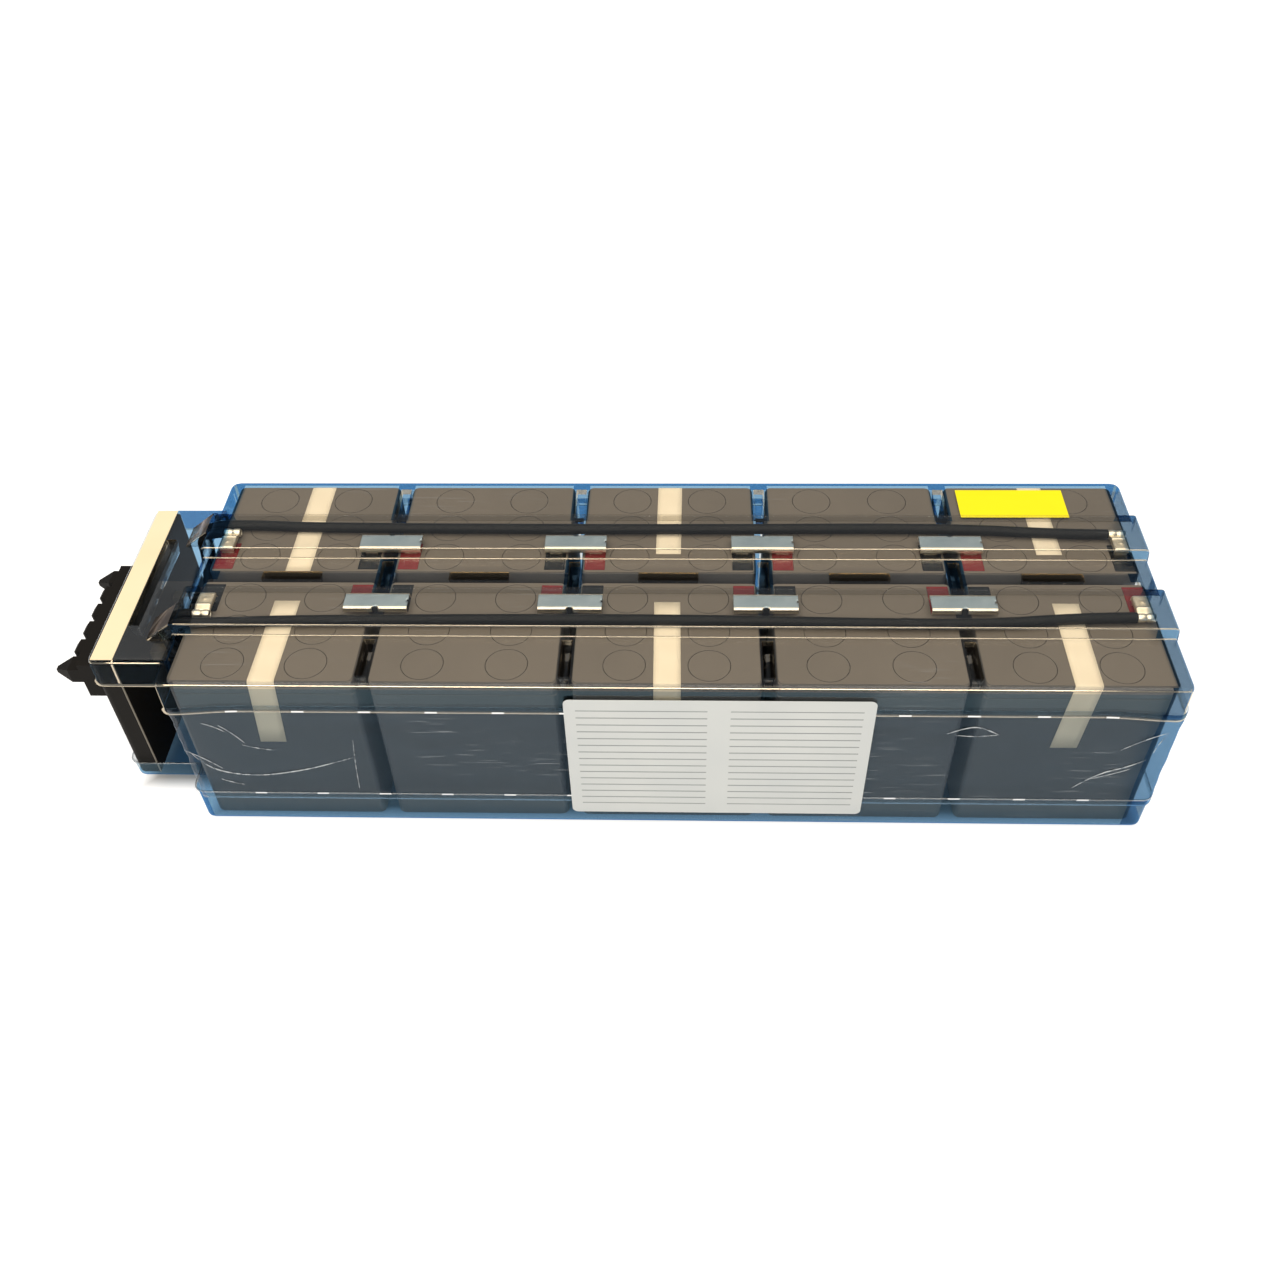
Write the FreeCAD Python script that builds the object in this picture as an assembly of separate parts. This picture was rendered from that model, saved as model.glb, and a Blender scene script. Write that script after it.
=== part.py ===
import FreeCAD, Part
import math
import os

# Battery module: ten sealed lead-acid blocks in two rows, held between a clear thermoformed
# lid and tray, with a blind-mate power connector at the left end. Millimetres, Z up.
# X runs along the rows, Y across them. The origin is under the middle of the whole module.

# Sealed blocks
BLOCK_LENGTH = 90.0
BLOCK_WIDTH = 70.0
BLOCK_HEIGHT = 102.0
BLOCK_LID_HEIGHT = 9.0
BLOCK_CORNER = 1.5
BLOCK_EDGE = 1.0
BLOCKS_PER_ROW = 5
BLOCK_GAP = 7.0
ROW_GAP = 7.5

# Terminals on the blocks
SEAL_LENGTH = 10.5
SEAL_WIDTH = 20.0
SEAL_DEPTH = 2.5
SEAL_END_MARGIN = 1.6
SEAL_SIDE_MARGIN = 2.2
SEAL_CLEARANCE = 0.1
TAB_WIDTH = 6.35
TAB_THICKNESS = 0.8
TAB_BLADE = 8.0

# Link bars between neighbouring blocks
LINK_LENGTH = 32.0
LINK_WIDTH = 11.4
LINK_SHEET = 0.8
LINK_LIP = 3.0
LINK_RISE = 5.0
LINK_SETBACK = 18.8
LINK_NOTCH = 1.6
LINK_BEND = 0.6

# Flag terminals at the row ends
FLAG_WIDTH = 8.0
FLAG_LIP = 2.4
CRIMP_SIZE = 4.6
CRIMP_EDGE = 1.2
CRIMP_LENGTH = 4.1
CRIMP_GAP = 0.8
CRIMP_NECK = 0.5

# Leads
LEAD_RADIUS = 2.75
LEAD_SIDES = 10
LEAD_REST = 0.1
LEAD_HEADROOM = 0.3
LEAD_TURN_RADIUS = 12.0
LEAD_EASE_RADIUS = 60.0
LEAD_PASS = 6.2
LEAD_FALL = 20.0
LEAD_RUN_IN = 1.0

# Paper strips over the blocks
STRIP_WIDTH = 13.0
STRIP_THICKNESS = 0.2
STRIP_DROP = 44.0
STRIP_INNER_MARGIN = 14.5
LONG_STRIP_MARGIN = 0.5

# Thermoformed case
SHEET = 0.8
END_GAP = 5.0
SIDE_GAP = 3.0
CASE_CORNER = 5.0
CASE_EDGE = 2.0
LID_DEPTH = 17.5
TRAY_DEPTH = 24.0
RIM_LIP = 1.2
CHANNEL_INNER_SETBACK = 10.2
CHANNEL_WIDTH = 29.0
CHANNEL_EDGE = 1.6
COMPARTMENT_LENGTH = 39.2
COMPARTMENT_WIDTH = 118.0
COMPARTMENT_STEP = 4.5
COMPARTMENT_FLOOR = 11.6
PROW_LENGTH = 13.5
PROW_CLEARANCE = 0.4

# Rib pockets pressed down from the lid into the gaps between the blocks
RIB_CLEARANCE = 0.6
RIB_DEPTH = 9.0
RIB_MARGIN = 3.0
CENTRE_RIB_LENGTH = 31.0
LOCK_RIB_WIDTH = 6.0
LOCK_RIB_LENGTH = 66.0

# Clear film that joins lid and tray
FILM_THICKNESS = 0.25
FILM_OVERLAP = 5.0

# Connector at the left end
PLATE_THICKNESS = 12.2
PLATE_CLEARANCE = 0.2
CONTACT_DROP = 18.9
CONTACT_PITCH = 13.6
CONTACT_WIDTH = 6.0
CONTACT_THICKNESS = 2.4
CONTACT_LUG = 6.4
CONTACT_LUG_LENGTH = 9.0
CONTACT_RECESS = 2.0
CONTACT_CLEARANCE = 0.1
NOSE_LENGTH = 19.5
NOSE_HALF_WIDTH = 38.2
NOSE_ABOVE = 9.6
NOSE_BELOW = 16.4
NOSE_EDGE = 1.5
TOWER_WIDTH = 9.4
TOWER_LENGTH = 8.0
POST_SPACING = 66.2
POST_WIDTH = 10.0
POST_HEIGHT = 9.0
POST_STRAIGHT = 6.0
POST_TAPER = 8.0
POST_TIP = 2.4

# Labels
LABEL_THICKNESS = 0.2
SIDE_LABEL_LENGTH = 148.0
SIDE_LABEL_HEIGHT = 86.0
SIDE_LABEL_X = 25.0
SIDE_LABEL_BASE = 11.0
SIDE_LABEL_CORNER = 3.0
TOP_LABEL_LENGTH = 57.0
TOP_LABEL_WIDTH = 23.0
TOP_LABEL_OFFSET = -10.5
TOP_LABEL_SETBACK = 7.5

# Values that follow from the sizes above
PITCH = BLOCK_LENGTH + BLOCK_GAP
ARRAY_HALF = (BLOCKS_PER_ROW * PITCH - BLOCK_GAP) / 2
ROW_INNER = ROW_GAP / 2
ROW_OUTER = ROW_INNER + BLOCK_WIDTH
BLOCK_TOP = SHEET + BLOCK_HEIGHT
STRIP_TOP = BLOCK_TOP + STRIP_THICKNESS
LID_TOP = STRIP_TOP + SHEET
LID_RIM = LID_TOP - LID_DEPTH
TRAY_RIM = TRAY_DEPTH
MAIN_HALF_LENGTH = ARRAY_HALF + END_GAP + SHEET
MAIN_HALF_WIDTH = ROW_OUTER + SIDE_GAP + SHEET
SEAL_INSET = SEAL_END_MARGIN + SEAL_LENGTH / 2
LINK_CENTRE = ROW_INNER + LINK_SETBACK
LINK_OUTER = LINK_CENTRE + LINK_WIDTH / 2
LINK_TOP = BLOCK_TOP + LINK_RISE
BLADE_TOP = LINK_TOP - LINK_SHEET
LEAD_Z = STRIP_TOP + LEAD_RADIUS + LEAD_REST
CRIMP_HALF = CRIMP_LENGTH + CRIMP_GAP / 2
CRIMP_Y = LINK_OUTER + CRIMP_NECK + CRIMP_SIZE / 2
LONG_LEAD_Y = CRIMP_Y + LEAD_PASS
CHANNEL_TOP = LEAD_Z + LEAD_RADIUS + LEAD_HEADROOM + SHEET
CHANNEL_INNER = ROW_INNER + CHANNEL_INNER_SETBACK
CHANNEL_OUTER = CHANNEL_INNER + CHANNEL_WIDTH
PROW_INNER = CRIMP_Y - LEAD_RADIUS - PROW_CLEARANCE - SHEET
COMPARTMENT_LEFT = -(MAIN_HALF_LENGTH + COMPARTMENT_LENGTH)
COMPARTMENT_TOP = LID_TOP - COMPARTMENT_STEP
PLATE_BACK = COMPARTMENT_LEFT + SHEET + PLATE_THICKNESS
NOSE_FACE = COMPARTMENT_LEFT - NOSE_LENGTH
TOWER_FACE = NOSE_FACE - TOWER_LENGTH
POST_FACE = NOSE_FACE - POST_STRAIGHT - POST_TAPER
CONTACT_Z = LID_RIM - CONTACT_DROP
CONTACT_END = PLATE_BACK + CONTACT_LUG_LENGTH
FILM_FACE = MAIN_HALF_WIDTH + RIM_LIP + FILM_THICKNESS
X_MAX = MAIN_HALF_LENGTH + RIM_LIP + FILM_THICKNESS
CENTRE = FreeCAD.Vector(-(X_MAX + POST_FACE) / 2, LABEL_THICKNESS / 2, 0)
ROWS = {"front": -1, "back": 1}
LEAD_SAG = {"front": 2.0, "back": 0.8}


def save(shape, name):
    """Moves a finished sub-part into the module's own frame and writes it."""
    shape.translate(CENTRE)
    shape.exportStep("parts/" + name + ".step")


def box(x, y, z):
    """A box between the (low, high) pairs x, y and z, given in either order."""
    low = [min(pair) for pair in (x, y, z)]
    size = [abs(pair[1] - pair[0]) for pair in (x, y, z)]
    return Part.makeBox(*size, FreeCAD.Vector(*low))


def polygon(points):
    """A flat face from its corner points."""
    corners = [FreeCAD.Vector(*point) for point in points]
    return Part.Face(Part.makePolygon(corners + corners[:1]))


def upright_edges(block):
    """The four upright edges of a box."""
    return [e for e in block.Edges if abs(e.Vertexes[0].Z - e.Vertexes[-1].Z) > 1e-6]


def rounded_box(x, y, z, radius):
    """A box whose four upright edges are rounded."""
    block = box(x, y, z)
    return block.makeFillet(radius, upright_edges(block))


def bevelled_box(x, y, z, bevel):
    """A box whose four upright edges are bevelled."""
    block = box(x, y, z)
    return block.makeChamfer(bevel, upright_edges(block))


def edges_at(shape, level):
    """The edges of a shape that lie in the plane at one height."""
    low = level - 1e-6
    high = level + 1e-6
    return [e for e in shape.Edges if low < e.BoundBox.ZMin and e.BoundBox.ZMax < high]


def pressed_box(x, y, z, corner, edge):
    """A box as a vacuum mould forms it: upright edges rounded and top edges broken."""
    block = rounded_box(x, y, z, corner)
    return block.makeChamfer(edge, edges_at(block, z[1]))


def slot(x, y, z):
    """A straight slot whose ends are bevelled, along the longer of x and y."""
    return bevelled_box(x, y, z, min(abs(x[1] - x[0]), abs(y[1] - y[0])) / 3)


def tube_path(points, radii):
    """A wire of straight runs joined by tangent arcs, one radius for each inner point."""
    nodes = [FreeCAD.Vector(*point) for point in points]
    edges = []
    start = nodes[0]
    for before, corner, after, radius in zip(nodes, nodes[1:], nodes[2:], radii):
        inward = (corner - before).normalize()
        outward = (after - corner).normalize()
        turn = inward.getAngle(outward)
        trim = radius * math.tan(turn / 2)
        first = corner - inward * trim
        last = corner + outward * trim
        bisector = (outward - inward).normalize()
        middle = corner + bisector * (radius / math.cos(turn / 2) - radius)
        edges.append(Part.makeLine(start, first))
        edges.append(Part.Arc(first, middle, last).toShape())
        start = last
    edges.append(Part.makeLine(start, nodes[-1]))
    return Part.Wire(edges)


def tube(path, radius):
    """A solid along a wire from a many-sided section: runs are extruded and arcs are revolved."""
    start = path.Edges[0]
    centre = start.valueAt(start.FirstParameter)
    up = FreeCAD.Vector(0, 0, radius)
    across = start.tangentAt(start.FirstParameter).cross(up)
    turns = [2 * math.pi * index / LEAD_SIDES for index in range(LEAD_SIDES)]
    section = polygon([centre + up * math.cos(turn) + across * math.sin(turn) for turn in turns])
    runs = []
    for edge in path.Edges:
        if edge.Curve.TypeId == "Part::GeomLine":
            step = edge.tangentAt(edge.FirstParameter) * edge.Length
            runs.append(section.extrude(step))
            section = section.translated(step)
        else:
            arc = edge.Curve
            turn = math.degrees(edge.Length / arc.Radius)
            runs.append(section.revolve(arc.Center, arc.Axis, turn))
            section = section.rotated(arc.Center, arc.Axis, turn)
    return runs[0].fuse(runs[1:]).removeSplitter()


def block_ends(index):
    """The X pair of one block of a row."""
    centre = (index - (BLOCKS_PER_ROW - 1) / 2) * PITCH
    return (centre - BLOCK_LENGTH / 2, centre + BLOCK_LENGTH / 2)


def row_sides(side):
    """The Y pair of a row, inner side first."""
    return (side * ROW_INNER, side * ROW_OUTER)


def seal_centres(index):
    """X of the left and right terminal of one block."""
    left, right = block_ends(index)
    return (left + SEAL_INSET, right - SEAL_INSET)


def block_case(index, side):
    """Moulded block case below the lid's seam."""
    top = BLOCK_TOP - BLOCK_LID_HEIGHT
    return bevelled_box(block_ends(index), row_sides(side), (SHEET, top), BLOCK_CORNER)


def seal_pocket(x_centre, side, clearance):
    """The space of one terminal seal in a block lid, widened by a clearance."""
    inner = ROW_INNER + SEAL_SIDE_MARGIN
    x = (x_centre - SEAL_LENGTH / 2 - clearance, x_centre + SEAL_LENGTH / 2 + clearance)
    y = (side * (inner - clearance), side * (inner + SEAL_WIDTH + clearance))
    return box(x, y, (BLOCK_TOP - SEAL_DEPTH, BLOCK_TOP))


def block_lid(index, side):
    """Moulded block lid with a chamfered top and two terminal recesses."""
    low = BLOCK_TOP - BLOCK_LID_HEIGHT
    lid = bevelled_box(block_ends(index), row_sides(side), (low, BLOCK_TOP), BLOCK_CORNER)
    lid = lid.makeChamfer(BLOCK_EDGE, edges_at(lid, BLOCK_TOP))
    return lid.cut([seal_pocket(x, side, SEAL_CLEARANCE) for x in seal_centres(index)])


def terminal_tab(x_centre, side):
    """Bent tab: a riser on the seal and a level blade that points away from the row gap."""
    x = (x_centre - TAB_WIDTH / 2, x_centre + TAB_WIDTH / 2)
    start = LINK_CENTRE - TAB_BLADE / 2
    riser = box(x, (side * start, side * (start + TAB_THICKNESS)), (BLOCK_TOP, BLADE_TOP))
    blade = box(x, (side * start, side * (start + TAB_BLADE)), (BLADE_TOP - TAB_THICKNESS, BLADE_TOP))
    return riser.fuse(blade).removeSplitter()


def link_bar(gap_index, side):
    """Folded link bar: a plate with a lip down each long side and a notch in the outer one."""
    x_centre = block_ends(gap_index)[1] + BLOCK_GAP / 2
    x = (x_centre - LINK_LENGTH / 2, x_centre + LINK_LENGTH / 2)
    inner = LINK_CENTRE - LINK_WIDTH / 2
    low = LINK_TOP - LINK_LIP
    bar = box(x, (side * inner, side * LINK_OUTER), (low, LINK_TOP))
    long_edges = [e for e in edges_at(bar, LINK_TOP) if e.BoundBox.XLength > LINK_WIDTH]
    bar = bar.makeChamfer(LINK_BEND, long_edges)
    hollow_y = (side * (inner + LINK_SHEET), side * (LINK_OUTER - LINK_SHEET))
    bar = bar.cut(box(x, hollow_y, (low, BLADE_TOP)))
    notch_foot = FreeCAD.Vector(x_centre, side * LINK_OUTER, low)
    return bar.cut(Part.makeCylinder(LINK_NOTCH, LINK_LIP, notch_foot))


def flag_terminal(x_centre, side):
    """Crimp terminal on an end tab: a lipped plate and two crimp bands across its outer end."""
    x = (x_centre - FLAG_WIDTH / 2, x_centre + FLAG_WIDTH / 2)
    inner = LINK_CENTRE - LINK_WIDTH / 2
    plate = box(x, (side * inner, side * LINK_OUTER), (LINK_TOP - FLAG_LIP, LINK_TOP))
    hollow_x = (x[0] + LINK_SHEET, x[1] - LINK_SHEET)
    hollow_y = (side * inner, side * LINK_OUTER)
    plate = plate.cut(box(hollow_x, hollow_y, (LINK_TOP - FLAG_LIP, BLADE_TOP)))
    neck = box(x, (side * LINK_OUTER, side * CRIMP_Y), (BLADE_TOP, LINK_TOP))
    half = CRIMP_SIZE / 2
    y = (side * CRIMP_Y - half, side * CRIMP_Y + half)
    bands = []
    for start in (x_centre - CRIMP_HALF, x_centre + CRIMP_GAP / 2):
        band = box((start, start + CRIMP_LENGTH), y, (LEAD_Z - half, LEAD_Z + half))
        along = [e for e in band.Edges if e.BoundBox.XLength > CRIMP_LENGTH / 2]
        bands.append(band.makeChamfer(CRIMP_EDGE, along))
    return plate.fuse([neck] + bands).removeSplitter()


def lead_drop(side, lead_y, contact_y):
    """The last points of every lead: over the block end, down, across and into its contact."""
    drop_x = -(ARRAY_HALF + LEAD_TURN_RADIUS - BLOCK_EDGE / 2)
    turn_x = CONTACT_END + LEAD_TURN_RADIUS + LEAD_RUN_IN
    return [
        (drop_x, side * lead_y, LEAD_Z),
        (drop_x, side * lead_y, LEAD_Z - LEAD_FALL),
        (turn_x, side * contact_y, CONTACT_Z),
        (CONTACT_END, side * contact_y, CONTACT_Z),
    ]


def short_lead(side):
    """Lead from the left flag terminal straight over the block end to an inner contact."""
    start_x = seal_centres(0)[0] - CRIMP_HALF
    points = [(start_x, side * CRIMP_Y, LEAD_Z)]
    points += lead_drop(side, CRIMP_Y, 0.5 * CONTACT_PITCH)
    return tube(tube_path(points, [LEAD_TURN_RADIUS] * 3), LEAD_RADIUS)


def long_lead(side, sag):
    """Lead from the right flag terminal along the row tops to an outer contact."""
    start_x = seal_centres(BLOCKS_PER_ROW - 1)[1] - CRIMP_HALF
    middle_y = LONG_LEAD_Y - LEAD_PASS / 3
    points = [
        (start_x, side * CRIMP_Y, LEAD_Z),
        (start_x - BLOCK_LENGTH / 4, side * CRIMP_Y, LEAD_Z),
        (PITCH * 1.5, side * (middle_y + sag), LEAD_Z),
        (0, side * (middle_y - sag), LEAD_Z),
        (-PITCH * 1.9, side * middle_y, LEAD_Z),
        (-PITCH * 2.25, side * LONG_LEAD_Y, LEAD_Z),
    ]
    eased = [LEAD_EASE_RADIUS] * (len(points) - 1)
    points += lead_drop(side, LONG_LEAD_Y, 1.5 * CONTACT_PITCH)
    return tube(tube_path(points, eased + [LEAD_TURN_RADIUS] * 3), LEAD_RADIUS)


def paper_strip(index, side, margin):
    """Paper tape stuck down a block's outer face and over its top edge, to a margin from the row gap."""
    left, right = block_ends(index)
    x = (left + right - STRIP_WIDTH) / 2
    outer = ROW_OUTER
    inner = ROW_INNER + margin
    low = BLOCK_TOP - STRIP_DROP
    miter = STRIP_THICKNESS * math.tan(math.pi / 8)
    section = [
        (outer, low),
        (outer, BLOCK_TOP - BLOCK_EDGE),
        (outer - BLOCK_EDGE, BLOCK_TOP),
        (inner, BLOCK_TOP),
        (inner, STRIP_TOP),
        (outer - BLOCK_EDGE + miter, STRIP_TOP),
        (outer + STRIP_THICKNESS, BLOCK_TOP - BLOCK_EDGE + miter),
        (outer + STRIP_THICKNESS, low),
    ]
    face = polygon([(x, side * y, z) for y, z in section])
    return face.extrude(FreeCAD.Vector(STRIP_WIDTH, 0, 0))


def case_plan(offset, z, floor_z):
    """The case's outline in plan, grown by an offset, between two heights.

    The compartment's part of it starts at its own floor height."""
    length = MAIN_HALF_LENGTH + offset
    width = MAIN_HALF_WIDTH + offset
    half = COMPARTMENT_WIDTH / 2 + offset
    corner = CASE_CORNER + offset
    main = rounded_box((-length, length), (-width, width), z, corner)
    right = -MAIN_HALF_LENGTH + 2 * CASE_CORNER
    end = rounded_box((COMPARTMENT_LEFT - offset, right), (-half, half), (floor_z, z[1]), corner)
    return main.fuse(end)


def lid_form(inset):
    """The lid as a solid form, its walls and top moved inwards by an inset."""
    low = LID_RIM
    length = MAIN_HALF_LENGTH - inset
    width = MAIN_HALF_WIDTH - inset
    half = COMPARTMENT_WIDTH / 2 - inset
    corner = CASE_CORNER - inset
    edge = CASE_EDGE - inset
    right = -MAIN_HALF_LENGTH + 2 * CASE_CORNER
    pieces = []
    main = pressed_box((-length, length), (-width, width), (low, LID_TOP - inset), corner, edge)
    end_x = (COMPARTMENT_LEFT + inset, right)
    pieces.append(pressed_box(end_x, (-half, half), (low, COMPARTMENT_TOP - inset), corner, edge))
    for side in ROWS.values():
        pieces.append(channel(side, inset))
        pieces.append(prow(side, inset))
    return main.fuse(pieces).removeSplitter()


def channel(side, inset):
    """Raised channel along one row over its links and leads, with broken long edges."""
    length = MAIN_HALF_LENGTH - inset
    y = (side * (CHANNEL_INNER + inset), side * (CHANNEL_OUTER - inset))
    top = CHANNEL_TOP - inset
    ridge = box((-length, length), y, (LID_RIM, top))
    long_edges = [e for e in edges_at(ridge, top) if e.BoundBox.XLength > CHANNEL_WIDTH]
    return ridge.makeChamfer(CHANNEL_EDGE - inset / 2, long_edges)


def prow(side, inset):
    """Sloping hood that covers the leads where a channel runs out over the compartment."""
    fall = CHANNEL_TOP - COMPARTMENT_TOP
    slope = math.hypot(fall, PROW_LENGTH)
    drop = inset * slope / PROW_LENGTH
    back = -MAIN_HALF_LENGTH + CASE_CORNER
    y = sorted((side * (PROW_INNER + inset), side * (CHANNEL_OUTER - inset)))
    tip = -MAIN_HALF_LENGTH - PROW_LENGTH
    low = COMPARTMENT_TOP - SHEET - CASE_EDGE
    profile = [
        (tip, y[0], low),
        (back, y[0], low),
        (back, y[0], CHANNEL_TOP - inset),
        (-MAIN_HALF_LENGTH + inset * fall / slope, y[0], CHANNEL_TOP - inset),
        (-MAIN_HALF_LENGTH, y[0], CHANNEL_TOP - drop),
        (tip, y[0], COMPARTMENT_TOP - drop),
    ]
    return polygon(profile).extrude(FreeCAD.Vector(0, y[1] - y[0], 0))


def rib_slots():
    """X and Y pairs of the ribs that stand between the blocks, on their outer faces."""
    half_gap = BLOCK_GAP / 2 - RIB_CLEARANCE
    half_row = ROW_GAP / 2 - RIB_CLEARANCE
    inner_reach = CHANNEL_INNER - RIB_MARGIN
    slots = []
    for index in range(BLOCKS_PER_ROW - 1):
        gap = block_ends(index)[1] + BLOCK_GAP / 2
        x = (gap - half_gap, gap + half_gap)
        slots.append((x, (-inner_reach, inner_reach)))
        for side in ROWS.values():
            reach = (side * (CHANNEL_OUTER + RIB_MARGIN), side * (ROW_OUTER - RIB_MARGIN))
            slots.append((x, reach))
    for index in range(BLOCKS_PER_ROW):
        left, right = block_ends(index)
        middle = (left + right) / 2
        x = (middle - CENTRE_RIB_LENGTH / 2, middle + CENTRE_RIB_LENGTH / 2)
        slots.append((x, (-half_row, half_row)))
    return slots


def pocket_pair(x, y, top):
    """A rib's outer solid and the hollow pressed into it from above."""
    x = sorted(x)
    y = sorted(y)
    outer = slot(x, y, (top - RIB_DEPTH, top))
    hollow_x = (x[0] + SHEET, x[1] - SHEET)
    hollow_y = (y[0] + SHEET, y[1] - SHEET)
    hollow = slot(hollow_x, hollow_y, (top - RIB_DEPTH + SHEET, top))
    return outer, hollow


def case_lid():
    """Clear lid: one vacuum-formed sheet with cable channels, rib pockets and a turned-out rim."""
    pairs = [pocket_pair(x, y, LID_TOP) for x, y in rib_slots()]
    lock_x = PLATE_BACK + PLATE_CLEARANCE
    lock_y = (-LOCK_RIB_LENGTH / 2, LOCK_RIB_LENGTH / 2)
    pairs.append(pocket_pair((lock_x, lock_x + LOCK_RIB_WIDTH), lock_y, COMPARTMENT_TOP))
    lip = case_plan(RIM_LIP, (LID_RIM, LID_RIM + SHEET), LID_RIM)
    solid = lid_form(0).fuse(lip)
    shell = solid.cut(lid_form(SHEET))
    shell = shell.fuse([outer for outer, hollow in pairs])
    return shell.cut([hollow for outer, hollow in pairs]).removeSplitter()


def tray_form(inset):
    """The tray as a solid form, its walls and floor moved inwards by an inset."""
    length = MAIN_HALF_LENGTH - inset
    width = MAIN_HALF_WIDTH - inset
    half = COMPARTMENT_WIDTH / 2 - inset
    corner = CASE_CORNER - inset
    edge = CASE_EDGE - inset
    right = -MAIN_HALF_LENGTH + 2 * CASE_CORNER
    main = rounded_box((-length, length), (-width, width), (inset, TRAY_RIM), corner)
    main = main.makeChamfer(edge, edges_at(main, inset))
    floor = COMPARTMENT_FLOOR + inset
    end = rounded_box((COMPARTMENT_LEFT + inset, right), (-half, half), (floor, TRAY_RIM), corner)
    end = end.makeChamfer(edge, edges_at(end, floor))
    return main.fuse(end).removeSplitter()


def case_tray():
    """Clear tray: one vacuum-formed sheet with a raised compartment floor and a turned-out rim."""
    lip_z = (TRAY_RIM - SHEET, TRAY_RIM)
    lip = case_plan(RIM_LIP, lip_z, lip_z[0])
    return tray_form(0).fuse(lip).cut(tray_form(SHEET)).removeSplitter()


def seam_film():
    """Clear adhesive film stretched from rim to rim round the front, right end and back."""
    z = (TRAY_RIM - FILM_OVERLAP, LID_RIM + FILM_OVERLAP)
    length = MAIN_HALF_LENGTH + RIM_LIP
    width = MAIN_HALF_WIDTH + RIM_LIP
    corner = CASE_CORNER + RIM_LIP
    inside = rounded_box((-length, length), (-width, width), z, corner)
    length += FILM_THICKNESS
    width += FILM_THICKNESS
    corner += FILM_THICKNESS
    outside = rounded_box((-length, length), (-width, width), z, corner)
    left_end = box((-length, -length + corner), (-width, width), z)
    return outside.cut([inside, left_end])


def guide_post(y_centre):
    """Guide post of the connector: a bar with a blunt pyramid at its tip."""
    half_y = POST_WIDTH / 2
    half_z = POST_HEIGHT / 2
    y = (y_centre - half_y, y_centre + half_y)
    z = (CONTACT_Z - half_z, CONTACT_Z + half_z)
    taper_x = NOSE_FACE - POST_STRAIGHT
    bar = box((taper_x, NOSE_FACE), y, z)
    rings = []
    for x, wide, tall in ((taper_x, half_y, half_z), (POST_FACE, POST_TIP / 2, POST_TIP / 2)):
        corners = [(-wide, -tall), (wide, -tall), (wide, tall), (-wide, tall)]
        rings.append([(x, y_centre + dy, CONTACT_Z + dz) for dy, dz in corners])
    base, tip = rings
    faces = [polygon(base), polygon(tip)]
    for index in range(4):
        following = (index + 1) % 4
        faces.append(polygon([base[index], base[following], tip[following], tip[index]]))
    return bar.fuse(Part.makeSolid(Part.makeShell(faces))).removeSplitter()


def contact_places():
    """Y of the four contacts."""
    return [(index - 1.5) * CONTACT_PITCH for index in range(4)]


def connector_housing():
    """Moulded connector: a plate trapped in the case, a nose with four towers, two guide posts."""
    half = COMPARTMENT_WIDTH / 2 - SHEET - PLATE_CLEARANCE
    plate_z = (COMPARTMENT_FLOOR + SHEET, COMPARTMENT_TOP - SHEET)
    front = COMPARTMENT_LEFT + SHEET
    corner = CASE_CORNER - SHEET
    plate = rounded_box((front, PLATE_BACK + corner), (-half, half), plate_z, corner)
    plate = plate.cut(box((PLATE_BACK, PLATE_BACK + corner), (-half, half), plate_z))
    plate = plate.makeChamfer(CASE_EDGE, edges_at(plate, plate_z[0]) + edges_at(plate, plate_z[1]))
    nose_z = (CONTACT_Z - NOSE_BELOW, CONTACT_Z + NOSE_ABOVE)
    nose = box((NOSE_FACE, front), (-NOSE_HALF_WIDTH, NOSE_HALF_WIDTH), nose_z)
    long_edges = [e for e in nose.Edges if e.BoundBox.XLength > NOSE_LENGTH / 2]
    pieces = [nose.makeChamfer(NOSE_EDGE, long_edges)]
    slots = []
    half_tower = TOWER_WIDTH / 2
    for y in contact_places():
        tower_z = (CONTACT_Z - half_tower, CONTACT_Z + half_tower)
        tower = box((TOWER_FACE, NOSE_FACE), (y - half_tower, y + half_tower), tower_z)
        tip_edges = [e for e in tower.Edges if e.BoundBox.XMax < TOWER_FACE + 1e-6]
        pieces.append(tower.makeChamfer(TOWER_WIDTH / 5, tip_edges))
        slots.append(contact_blade(y, TOWER_FACE, CONTACT_CLEARANCE))
    for side in (-1, 1):
        pieces.append(guide_post(side * POST_SPACING / 2))
    return plate.fuse(pieces).cut(slots).removeSplitter()


def contact_blade(y, tip_x, clearance):
    """The space of one contact blade from its tip to the plate's back, with a clearance."""
    half_y = CONTACT_WIDTH / 2 + clearance
    half_z = CONTACT_THICKNESS / 2 + clearance
    return box((tip_x, PLATE_BACK), (y - half_y, y + half_y), (CONTACT_Z - half_z, CONTACT_Z + half_z))


def contact(y):
    """Plated contact: a blade through the housing and a lug for the lead on the plate's back."""
    half = CONTACT_LUG / 2
    lug = box((PLATE_BACK, CONTACT_END), (y - half, y + half), (CONTACT_Z - half, CONTACT_Z + half))
    return contact_blade(y, TOWER_FACE + CONTACT_RECESS, 0).fuse(lug)


def side_label():
    """Blank rating label on the film of the front side, with round corners."""
    half = SIDE_LABEL_LENGTH / 2
    x = (SIDE_LABEL_X - half, SIDE_LABEL_X + half)
    y = (-FILM_FACE - LABEL_THICKNESS, -FILM_FACE)
    z = (SIDE_LABEL_BASE, SIDE_LABEL_BASE + SIDE_LABEL_HEIGHT)
    label = box(x, y, z)
    corners = [e for e in label.Edges if e.BoundBox.YLength > LABEL_THICKNESS / 2]
    return label.makeFillet(SIDE_LABEL_CORNER, corners)


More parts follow.
